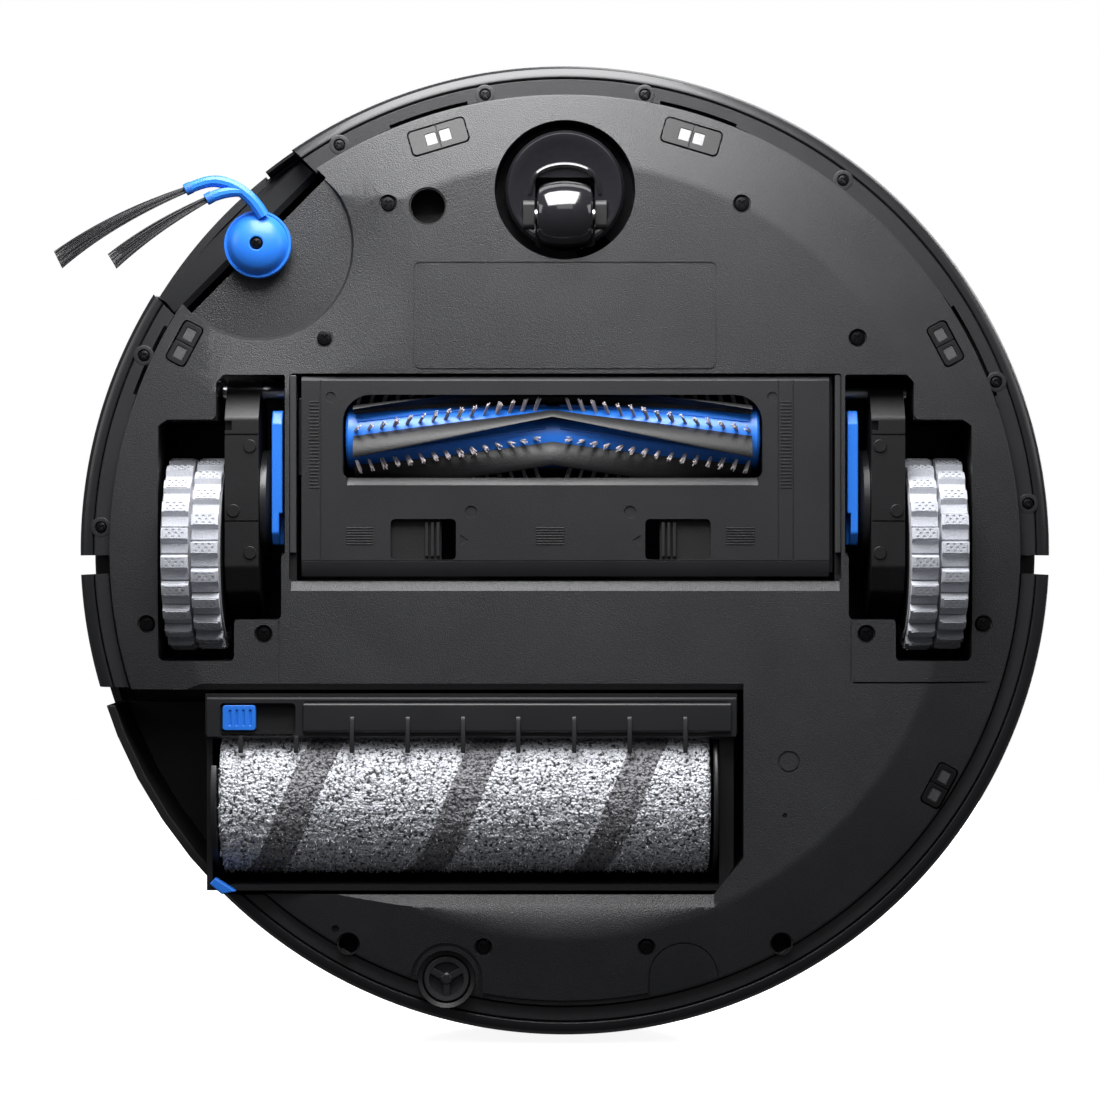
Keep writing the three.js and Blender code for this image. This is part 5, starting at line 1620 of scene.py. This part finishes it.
# ---------------------------------------------------------------- caster and side brush
@dataclass
class Caster:
    """Swivelling front wheel in its domed yoke."""

    shop: Workshop
    middle: tuple[float, float] = (0.0, -128.1)
    belly: float = 9.0
    radius: float = 12.0
    width: float = 19.6
    trail: float = 8.8
    yoke: float = 21.2

    def dress(self) -> None:
        """Builds the yoke, its arch, the barrel wheel and the axle."""
        x, y = self.middle
        z = self.belly
        axle = (x, y + self.trail, self.radius)
        room_x = self.width / 2 + 0.8
        dome = lathe("caster_dome", [
            (0, z + 4), (8, z + 3.8), (13, z + 3.3), (17, z + 2.3), (self.yoke - 2.2, z + 1.5),
            (self.yoke - 1.0, z + 1.7),
            (self.yoke, z + 3.2), (self.yoke, z + 19), (self.yoke - 3, z + 23.6), (4.8, z + 23.6),
            (4.8, z + 32.6),
            (0, z + 32.6)], (x, y, 0), steps=128)
        cut(dome, rod("wheel_room", self.radius + 1.4, (-room_x, axle[1], axle[2]),
                      (room_x, axle[1], axle[2]), 64),
            block("wheel_room", (-room_x, axle[1], -10),
                  (room_x, axle[1] + 10.5, axle[2] + self.radius + 1.4)))
        arch = tube("caster_arch", [(-12.5, y + 1.5, z + 3.6), (-12, y - 4.6, z + 3.0), (-7.5, y - 8.2,
                                                                                         z + 3.0),
                                    (0, y - 9.4, z + 3.0), (7.5, y - 8.2, z + 3.0), (12, y - 4.6, z + 3.0),
                                    (12.5, y + 1.5, z + 3.6)], 0.9, 12)
        dome = bevel(dome, 0.5, 3, 35)
        self.shop.place(dome, "caster_swivel", "piano_black", ["caster_yoke"])
        self.shop.place(arch, "caster_swivel", "piano_black", ["caster_yoke"])
        # Painted shade: the cheeks beside the wheel get dark_plastic, darker than the dome, so they read as
        # shaded slots.
        cheeks = []
        for side in (-1, 1):
            xs = sorted((side * (room_x + 0.1), side * 14.9))
            cheek = side_plate("cheek", filleted([(axle[1] - 5, z + 0.2), (axle[1] + 5.5, z + 0.2),
                                                  (axle[1] + 5.5, z + 9), (axle[1] - 5, z + 9)],
                                                  [2, 2, 0, 0]), xs)
            cut(cheek, rod("pin", 2.3, (xs[0] - 1, axle[1], axle[2]), (xs[1] + 1, axle[1], axle[2]), 32))
            cheeks.append(bevel(cheek, 0.3, 2))
        self.shop.place(join("caster_cheeks", cheeks), "caster_swivel", "dark_plastic", ["caster_yoke"])
        w = self.width / 2
        barrel = lathe("caster_barrel", [
            (2.3, -w), (8.2, -w), (9.8, -w + 0.7), (10.8, -w + 2.2), (11.4, -w + 4.2), (11.85, -w + 7),
            (12, -1.2),
            (12, 1.2), (11.85, w - 7), (11.4, w - 4.2), (10.8, w - 2.2), (9.8, w - 0.7), (8.2, w), (2.3, w)],
            axle, Axis.X, 96)
        self.shop.place(barrel, "caster_roller", "piano_black", ["caster_wheel"])
        pin = lathe("caster_pin", [(0, -12.6), (1.6, -12.6), (2, -12.2), (2, 12.2), (1.6, 12.6), (0, 12.6)],
                    axle, Axis.X, 32)
        self.shop.place(pin, "caster_roller", "bright_steel", ["caster_axle"])


@dataclass
class SideBrush:
    """Blue hub with two curved arms that hold bristle fans."""

    shop: Workshop
    middle: tuple[float, float] = (-109.1, -108.5)

    def strands(self, name: str, foot: Point, heading: Point, ends: Sequence[Point], count: int,
                seed: int, sag: float) -> bpy.types.Object:
        """A fan of bristles that spreads from a sleeve to a slanted tip line.

        Args:
            name: Name of the object.
            foot: Mouth of the sleeve.
            heading: Direction in which the sleeve points.
            ends: The two corners of the tip line.
            count: Number of bristles.
            seed: Seed of the small scatter.
            sag: How far the fan bows sideways on its way.

        Returns:
            All bristles in one object.
        """
        dice = random.Random(seed)
        start, way = Vector(foot), Vector(heading).normalized()
        a, b = (Vector(end) for end in ends)
        hairs = []
        for i in range(count):
            t = (i + dice.uniform(-0.3, 0.3)) / (count - 1)
            tip = a.lerp(b, min(1, max(0, t))) + Vector((0, 0, dice.uniform(-0.5, 0.5)))
            across = Vector((-way.y, way.x, 0))
            root = start + across * (t - 0.5) * -2.0 + Vector((0, 0, dice.uniform(-0.7, 0.7)))
            reach = tip - root
            bow = Vector((-reach.y, reach.x, 0)).normalized() * sag
            one = root + reach * 0.34 + bow * 0.9 + across * dice.uniform(-0.2, 0.2)
            two = root + reach * 0.68 + bow + across * dice.uniform(-0.3, 0.3)
            hairs.append(tube("hair", [root, one, two, tip], [0.17, 0.17, 0.15, 0.09], 6))
        return join(name, hairs)

    def dress(self) -> None:
        """Builds the hub, the arms, the screw and the bristles."""
        x, y = self.middle
        shift = lambda points: [(x + px, y + py, pz) for px, py, pz in points]
        hub = lathe("side_hub_dome", [(2.4, 6.2), (2.4, 3.75), (3.0, 3.6), (5.5, 4.1), (8, 5.1), (9.6, 6.5),
                                      (10.4, 8.2),
                                      (10.9, 8.75), (11.2, 8.5), (11.8, 8.55), (12, 9), (12, 12), (9, 13.4),
                                      (3.5, 13.4),
                                      (3.5, 28.2), (0, 28.2), (0, 6.2)], (x, y, 0), steps=96)
        self.shop.place(hub, "side_brush", "blue_plastic", ["side_brush_hub"])
        long = shift([(2.4, -9.5, 6), (0.4, -13, 5.6), (-2.6, -16.6, 5.2), (-7.4, -20, 4.8),
                      (-12.6, -22, 4.3),
                      (-18, -22, 3.8), (-25, -18.6, 3.2)])
        short = shift([(-5, -18, 4.6), (-9, -18.6, 4.0), (-13.6, -17.4, 3.6), (-17.6, -15.2, 3.2)])
        arms = [tube("arm", long, [2.3, 2.3, 2.25, 2.2, 2.1, 2.0, 1.9], 16),
                tube("arm", short, [1.7, 2.0, 2.0, 1.9], 16)]
        collars = []
        for points, i in ((long, -1), (short, -1)):
            end, before = Vector(points[i]), Vector(points[i - 1])
            way = (end - before).normalized()
            collars.append(rod("collar", 2.15, end - way * 2.6, end + way * 0.1, 24))
        self.shop.place(join("side_brush_arms", arms), "side_brush", "blue_plastic", ["side_brush_arm"])
        # Painted shade: the sleeves get the darker blue.
        self.shop.place(bevel(join("side_brush_sleeves", collars), 0.3, 2), "side_brush", "blue_shade",
                        ["side_brush_arm"])
        self.shop.place(cross_screw("side_hub_screw", (x, y, 4.2), 2.05, 1.6), "side_brush", "screw_steel",
                        ["side_brush_screw"])
        ends_long = shift([(-71.2, 3.2, 2.1), (-68.4, 9.0, 2.3)])
        ends_short = shift([(-52.2, 4.1, 2.1), (-49.2, 9.2, 2.3)])
        fan = self.strands("long_bristles", long[-1], (-7, 3.4, 0), ends_long, 58, 3, 2.6)
        self.shop.place(fan, "side_brush", "dark_hair", ["side_brush_tuft_long"])
        fan = self.strands("short_bristles", short[-1], (-4, 2.2, 0), ends_short, 46, 5, 1.6)
        self.shop.place(fan, "side_brush", "dark_hair", ["side_brush_tuft_short"])


# ---------------------------------------------------------------- roller mop
@dataclass
class RollerMop:
    """Extending mop: carriage, comb, roller with its nap, button, tab and skirt."""

    shop: Workshop
    x: tuple[float, float] = (-122.5, 51.5)
    y: float = 88.9
    z: float = 28.6
    radius: float = 28.0
    core: float = 20.0
    ribs: tuple[float, ...] = (-75.3, -55.6, -36.0, -16.5, 3.3, 22.9, 42.6)

    def carriage(self) -> None:
        """The frame with its front bar."""
        frame_piece = rework("mop_carriage", "mop_frame")
        low = 7.0
        cut(frame_piece, block("cut_line", (-91.2, 52.4, 5), (61.2, 52.9, low + 0.4)),
            block("cut_line", (-94.2, 50, 5), (-93.6, 66, low + 0.3)))
        self.shop.place(bevel(frame_piece, 0.3, 2, 35), "mop_carriage", "dark_plastic", ["mop_carriage"])
        shell = [(51.4, 8.2), (52.8, low - 0.9), (66.0, low - 0.9), (66.9, 8.2), (66.9, 9.4), (51.4, 9.4)]
        bar = side_plate("mop_bar_cover", shell, (-126.8, 60.6))
        cut(bar, plate("cut_window", rectangle((-122.2, -95.4), (54.2, 65.8), 1.5), (0, 20)),
            plate("cut_inner", rectangle((-92.8, 58.2), (53.6, 66.0), 1.2), (0, 6.6)))
        self.shop.place(bevel(bar, 0.35, 2, 30), "mop_carriage", "frame_plastic", ["mop_carriage"])
        # Painted shade: a near-black floor fills the window in the bar cover.
        floor = block("mop_window_floor", (-122, 54.4, 9.8), (-95.2, 65.6, 10.4))
        self.shop.place(bevel(floor, 0.1, 1), "mop_carriage", "inner_black", ["mop_carriage"])

    def comb(self) -> None:
        """Bar with the ribs that comb the nap."""
        section = [(53.9, 6.7), (54.4, 5.1), (55.2, 4.8), (63.9, 4.8), (64.5, 5.2), (64.6, 6.7)]
        bar = side_plate("comb_bar", section, (-92.6, 58.8))
        self.shop.place(bevel(bar, 0.3, 2, 30), "mop_carriage", "frame_plastic", ["mop_comb"])
        ribs = []
        for x in self.ribs:
            profile = [(58.8, 4.9), (60.2, 4.2), (66, 3.45), (71.2, 3.4), (71.8, 3.8), (71.8, 4.6),
                       (64.8, 6.6), (58.8, 6.6)]
            ribs.append(bevel(side_plate("rib", profile, (x - 0.8, x + 0.8)), 0.25, 2))
        for x in (-114.6, -95.0):
            profile = [(65.6, 6.2), (66, 3.8), (71.2, 3.4), (71.8, 3.8), (71.8, 4.6), (66.4, 7.0)]
            ribs.append(bevel(side_plate("rib", profile, (x - 0.8, x + 0.8)), 0.25, 2))
        self.shop.place(join("comb_ribs", ribs), "mop_carriage", "frame_plastic", ["mop_comb"])

    def nap(self) -> bpy.types.Object:
        """The pile: a roll whose surface is raised into small clumps."""
        x0, x1 = self.x
        roll = lathe("mop_pile", [(self.core + 0.4, x0), (self.radius - 3.2, x0), (self.radius - 1.7,
                                                                                   x0 + 1.2),
                                  (self.radius - 1.7, x1 - 1.2), (self.radius - 3.2, x1),
                                  (self.core + 0.4, x1)],
                     (0, self.y, self.z), Axis.X, 160)
        pick(roll)
        bpy.ops.object.mode_set(mode="EDIT")
        bpy.ops.mesh.select_all(action="DESELECT")
        bpy.ops.object.mode_set(mode="OBJECT")
        outer = (self.radius - 1.75) * MM
        for edge in roll.data.edges:
            a, b = (roll.data.vertices[i].co for i in edge.vertices)
            far = min(math.hypot(p.y - self.y * MM, p.z - self.z * MM) for p in (a, b)) > outer
            edge.select = far and abs(a.x - b.x) > 0.05
        bpy.ops.object.mode_set(mode="EDIT")
        bpy.ops.mesh.select_mode(type="EDGE")
        bpy.ops.mesh.subdivide(number_cuts=170)
        bpy.ops.mesh.select_mode(type="VERT")
        bpy.ops.object.mode_set(mode="OBJECT")
        texture = bpy.data.textures.new("pile_clumps", "CLOUDS")
        texture.noise_scale = 0.0026
        texture.noise_depth = 3
        apply_modifier(roll, "DISPLACE", texture=texture, strength=1.9 * MM, mid_level=0.5,
                       texture_coords="LOCAL")
        limit = self.radius - 0.7

        def held(point: Vector) -> Vector:
            spoke = Vector((0, point.y - self.y, point.z - self.z))
            if spoke.length > limit:
                spoke.length = limit
            return Vector((min(max(point.x, x0), x1), self.y + spoke.y, self.z + spoke.z))

        return reshaped(roll, held)

    def fibres(self) -> bpy.types.Object:
        """Short curls of yarn that stand out of the pile."""
        dice = random.Random(11)
        strand = rod("yarn", 0.42, (0, 0, 0), (0, 0, 1), 5, 0.16)
        curls = []
        for _ in range(9000):
            x = dice.uniform(self.x[0] + 0.5, self.x[1] - 0.5)
            turn = dice.uniform(0, 2 * math.pi)
            lean = Vector((dice.gauss(0, 0.55), 0, 0))
            out = Vector((0, math.cos(turn), math.sin(turn)))
            side = Vector((0, -math.sin(turn), math.cos(turn))) * dice.gauss(0, 0.55)
            foot = Vector((x, self.y, self.z)) + out * (self.radius - 2.9)
            head = foot + (out + lean + side).normalized() * dice.uniform(1.7, 2.7)
            spoke = Vector((0, head.y - self.y, head.z - self.z))
            if spoke.length > self.radius - 0.1:
                head = Vector((head.x, self.y, self.z)) + spoke.normalized() * (self.radius - 0.1)
            head.x = min(max(head.x, self.x[0]), self.x[1])
            reach = head - foot
            turned = reach.to_track_quat("Z", "Y").to_matrix().to_4x4()
            curls.append(Matrix.Translation(foot) @ turned @ Matrix.Diagonal((1, 1, reach.length, 1)))
        return scattered("mop_yarn", strand, curls)

    def dress(self) -> None:
        """Builds and mounts the mop."""
        place = self.shop.place
        self.carriage()
        self.comb()
        x0, x1 = self.x
        core = lathe("mop_drum", [
            (0, x0 - 4), (3.2, x0 - 4), (3.2, x0 - 0.8), (self.core - 0.6, x0 - 0.8), (self.core, x0 - 0.2),
            (self.core, x1 + 0.2), (self.core - 0.6, x1 + 0.8), (3.2, x1 + 0.8), (3.2, x1 + 5), (0, x1 + 5)],
            (0, self.y, self.z), Axis.X, 96)
        place(core, "mop_roller", "dark_plastic", ["mop_core"])
        pile = self.nap()
        place(pile, "mop_roller", "mop_pile", ["mop_nap"], 70)
        yarn = self.fibres()
        place(yarn, "mop_roller", "mop_pile", ["mop_nap"], 70)
        low, high = node_span("mop_release_button")
        button = plate("mop_button_cap", rectangle((low.x, high.x), (low.y, high.y), 1.0), (low.z, high.z))
        grooves = [block("groove", (low.x + 2.2 + i * 2.4, low.y + 1.6, low.z - 1),
                         (low.x + 3.0 + i * 2.4, high.y - 1.6, low.z + 0.5)) for i in range(4)]
        cut(button, *grooves)
        place(bevel(button, 0.4, 3), "mop_release", "blue_plastic", ["mop_release_button"])
        tab = bevel(rework("mop_tab", "mop_tab_grip"), 0.5, 3)
        place(tab, "mop_carriage", "blue_plastic", ["mop_tab"])
        skirt = bevel(rework("mop_skirt", "mop_skirt_shell"), 0.5, 3)
        place(skirt, "mop_carriage", "dark_plastic", ["mop_skirt"])
        self.caps()

    def caps(self) -> None:
        """End plates of the roller: an arc on the left and a disc on the right."""
        c = (self.y, self.z)
        outer = ring_outline(c, 27.2, -118, 118, 40)
        inner = ring_outline(c, 23.0, 118, -118, 40)
        arc = [(p[0], p[1]) for p in outer + inner]
        flipped = [(c[0] + (a - c[0]), b) for a, b in arc]
        plate_left = side_plate("mop_end_arc", [(y, z) for y, z in flipped], (-125.2, -123.2))
        self.shop.place(bevel(plate_left, 0.3, 2), "mop_carriage", "frame_plastic", ["mop_carriage"])
        disc = lathe("mop_end_disc", [(6, 52.7), (26.5, 52.7), (27, 53.1), (27, 53.9), (26.5, 54.3),
                                      (6, 54.3)],
                     (0, *c), Axis.X, 96)
        self.shop.place(disc, "mop_carriage", "frame_plastic", ["mop_carriage"])


# ---------------------------------------------------------------- studio
@dataclass
class Studio:
    """Camera, lights and the white floor that the upright robot stands on."""

    shop: Workshop
    distance: float = 1.2
    lens: float = 111.5
    shift: float = -0.0136
    floor_y: float = 0.1772

    def camera(self) -> None:
        """Looks straight at the belly, with the bumper at the top of the picture."""
        clear_selection()
        bpy.ops.object.camera_add(location=(0, 0, -self.distance), rotation=(math.pi, 0, 0))
        camera = bpy.context.object
        camera.data.sensor_width = 36
        camera.data.lens = self.lens
        camera.data.shift_x = self.shift
        camera.data.clip_start, camera.data.clip_end = 0.05, 20
        bpy.context.scene.camera = camera

    def light(self, name: str, place: Point, aim: Point, size: float, power: float,
              colour: tuple[float, float, float] = (1, 1, 1)) -> None:
        """Adds a square area light that looks at a point, in metres."""
        clear_selection()
        bpy.ops.object.light_add(type="AREA", location=place)
        lamp = bpy.context.object
        lamp.name = name
        lamp.data.size = size
        lamp.data.energy = power
        lamp.data.color = colour
        lamp.rotation_euler = (Vector(aim) - Vector(place)).to_track_quat("-Z", "Y").to_euler()

    def world(self) -> None:
        """Pale surroundings that the camera sees as pure white."""
        world = bpy.data.worlds.new("studio")
        bpy.context.scene.world = world
        world.use_nodes = True
        nodes = Nodes(world.node_tree)
        ambient = world.node_tree.nodes["Background"]
        ambient.inputs["Color"].default_value = (0.93, 0.96, 1.0, 1)
        ambient.inputs["Strength"].default_value = 0.07
        white = nodes.add("ShaderNodeBackground")
        white.inputs["Color"].default_value = (1, 1, 1, 1)
        white.inputs["Strength"].default_value = 1.0
        path = nodes.add("ShaderNodeLightPath")
        mix = nodes.add("ShaderNodeMixShader")
        nodes.link(path.outputs["Is Camera Ray"], mix.inputs["Fac"])
        nodes.link(ambient.outputs[0], mix.inputs[1])
        nodes.link(white.outputs[0], mix.inputs[2])
        nodes.link(mix.outputs[0], world.node_tree.nodes["World Output"].inputs["Surface"])

    def floor_material(self, name: str, glow: float) -> bpy.types.Material:
        """White floor that is clear from behind."""
        material = bpy.data.materials.new(name)
        material.use_nodes = True
        nodes = Nodes(material.node_tree)
        shader = material.node_tree.nodes["Principled BSDF"]
        shader.inputs["Base Color"].default_value = (0.95, 0.95, 0.95, 1)
        shader.inputs["Roughness"].default_value = 0.35
        shader.inputs["Emission Color"].default_value = (1, 1, 1, 1)
        shader.inputs["Emission Strength"].default_value = glow
        clear = nodes.add("ShaderNodeBsdfTransparent")
        sides = nodes.add("ShaderNodeNewGeometry")
        mix = nodes.add("ShaderNodeMixShader")
        nodes.link(sides.outputs["Backfacing"], mix.inputs["Fac"])
        nodes.link(shader.outputs[0], mix.inputs[1])
        nodes.link(clear.outputs[0], mix.inputs[2])
        nodes.link(mix.outputs[0], material.node_tree.nodes["Material Output"].inputs["Surface"])
        return material

    def floors(self) -> None:
        """Upright floor behind the robot's rear edge, and a level one under its wheels."""
        clear_selection()
        bpy.ops.mesh.primitive_plane_add(size=2, location=(0, self.floor_y, 0.2),
                                         rotation=(math.pi / 2, 0, 0))
        wall = settle(bpy.context.object, "floor_upright")
        wall.data.materials.append(self.floor_material("floor_upright_white", 0.9))
        clear_selection()
        bpy.ops.mesh.primitive_plane_add(size=4, location=(0, 0, -0.0005))
        ground = settle(bpy.context.object, "floor_level")
        ground.data.materials.append(self.floor_material("floor_level_white", 0.8))
        ground.visible_shadow = False
        for floor in (wall, ground):
            floor.visible_diffuse = False
            floor.visible_glossy = False
        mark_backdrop(wall, ground)

    def dress(self) -> None:
        """Sets the whole studio."""
        bpy.context.scene.view_settings.view_transform = "Standard"
        self.camera()
        self.world()
        self.floors()
        self.light("key", (-0.04, -0.37, -0.17), (0, 0.0, 0), 0.3, 4.2)
        self.light("front_fill", (0.0, -1.4, -2.2), (0, 0, 0), 1.4, 8)
        self.light("side_fill", (-1.3, -0.5, -0.5), (0, 0, 0), 0.6, 3)
        self.light("right_fill", (1.3, -0.5, -0.5), (0, 0, 0), 0.6, 3)
        self.light("top_fill", (0.4, -0.6, 1.6), (0, 0, 0.05), 1.4, 18)


def main() -> None:
    """Builds the studio and the robot in order."""
    logging.basicConfig(level=logging.INFO)
    shop = Workshop()
    mop = RollerMop(shop)
    shop.keep("mop_pile", Pile("mop_pile", (0, mop.y, mop.z)).build(), "nap")
    Studio(shop).dress()
    sections = [BellyCover(shop), Casing(shop), Turret(shop), Insides(shop), BrushGuard(shop),
                MainBrush(shop),
                DriveUnit(shop, -1), DriveUnit(shop, 1), Caster(shop), SideBrush(shop), mop]
    for section in sections:
        section.dress()
        LOG.info("built %s", type(section).__name__)
    {"cad": CAD_BOX, "visual": [list(corner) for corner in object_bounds()]}


if __name__ == "__main__":
    main()
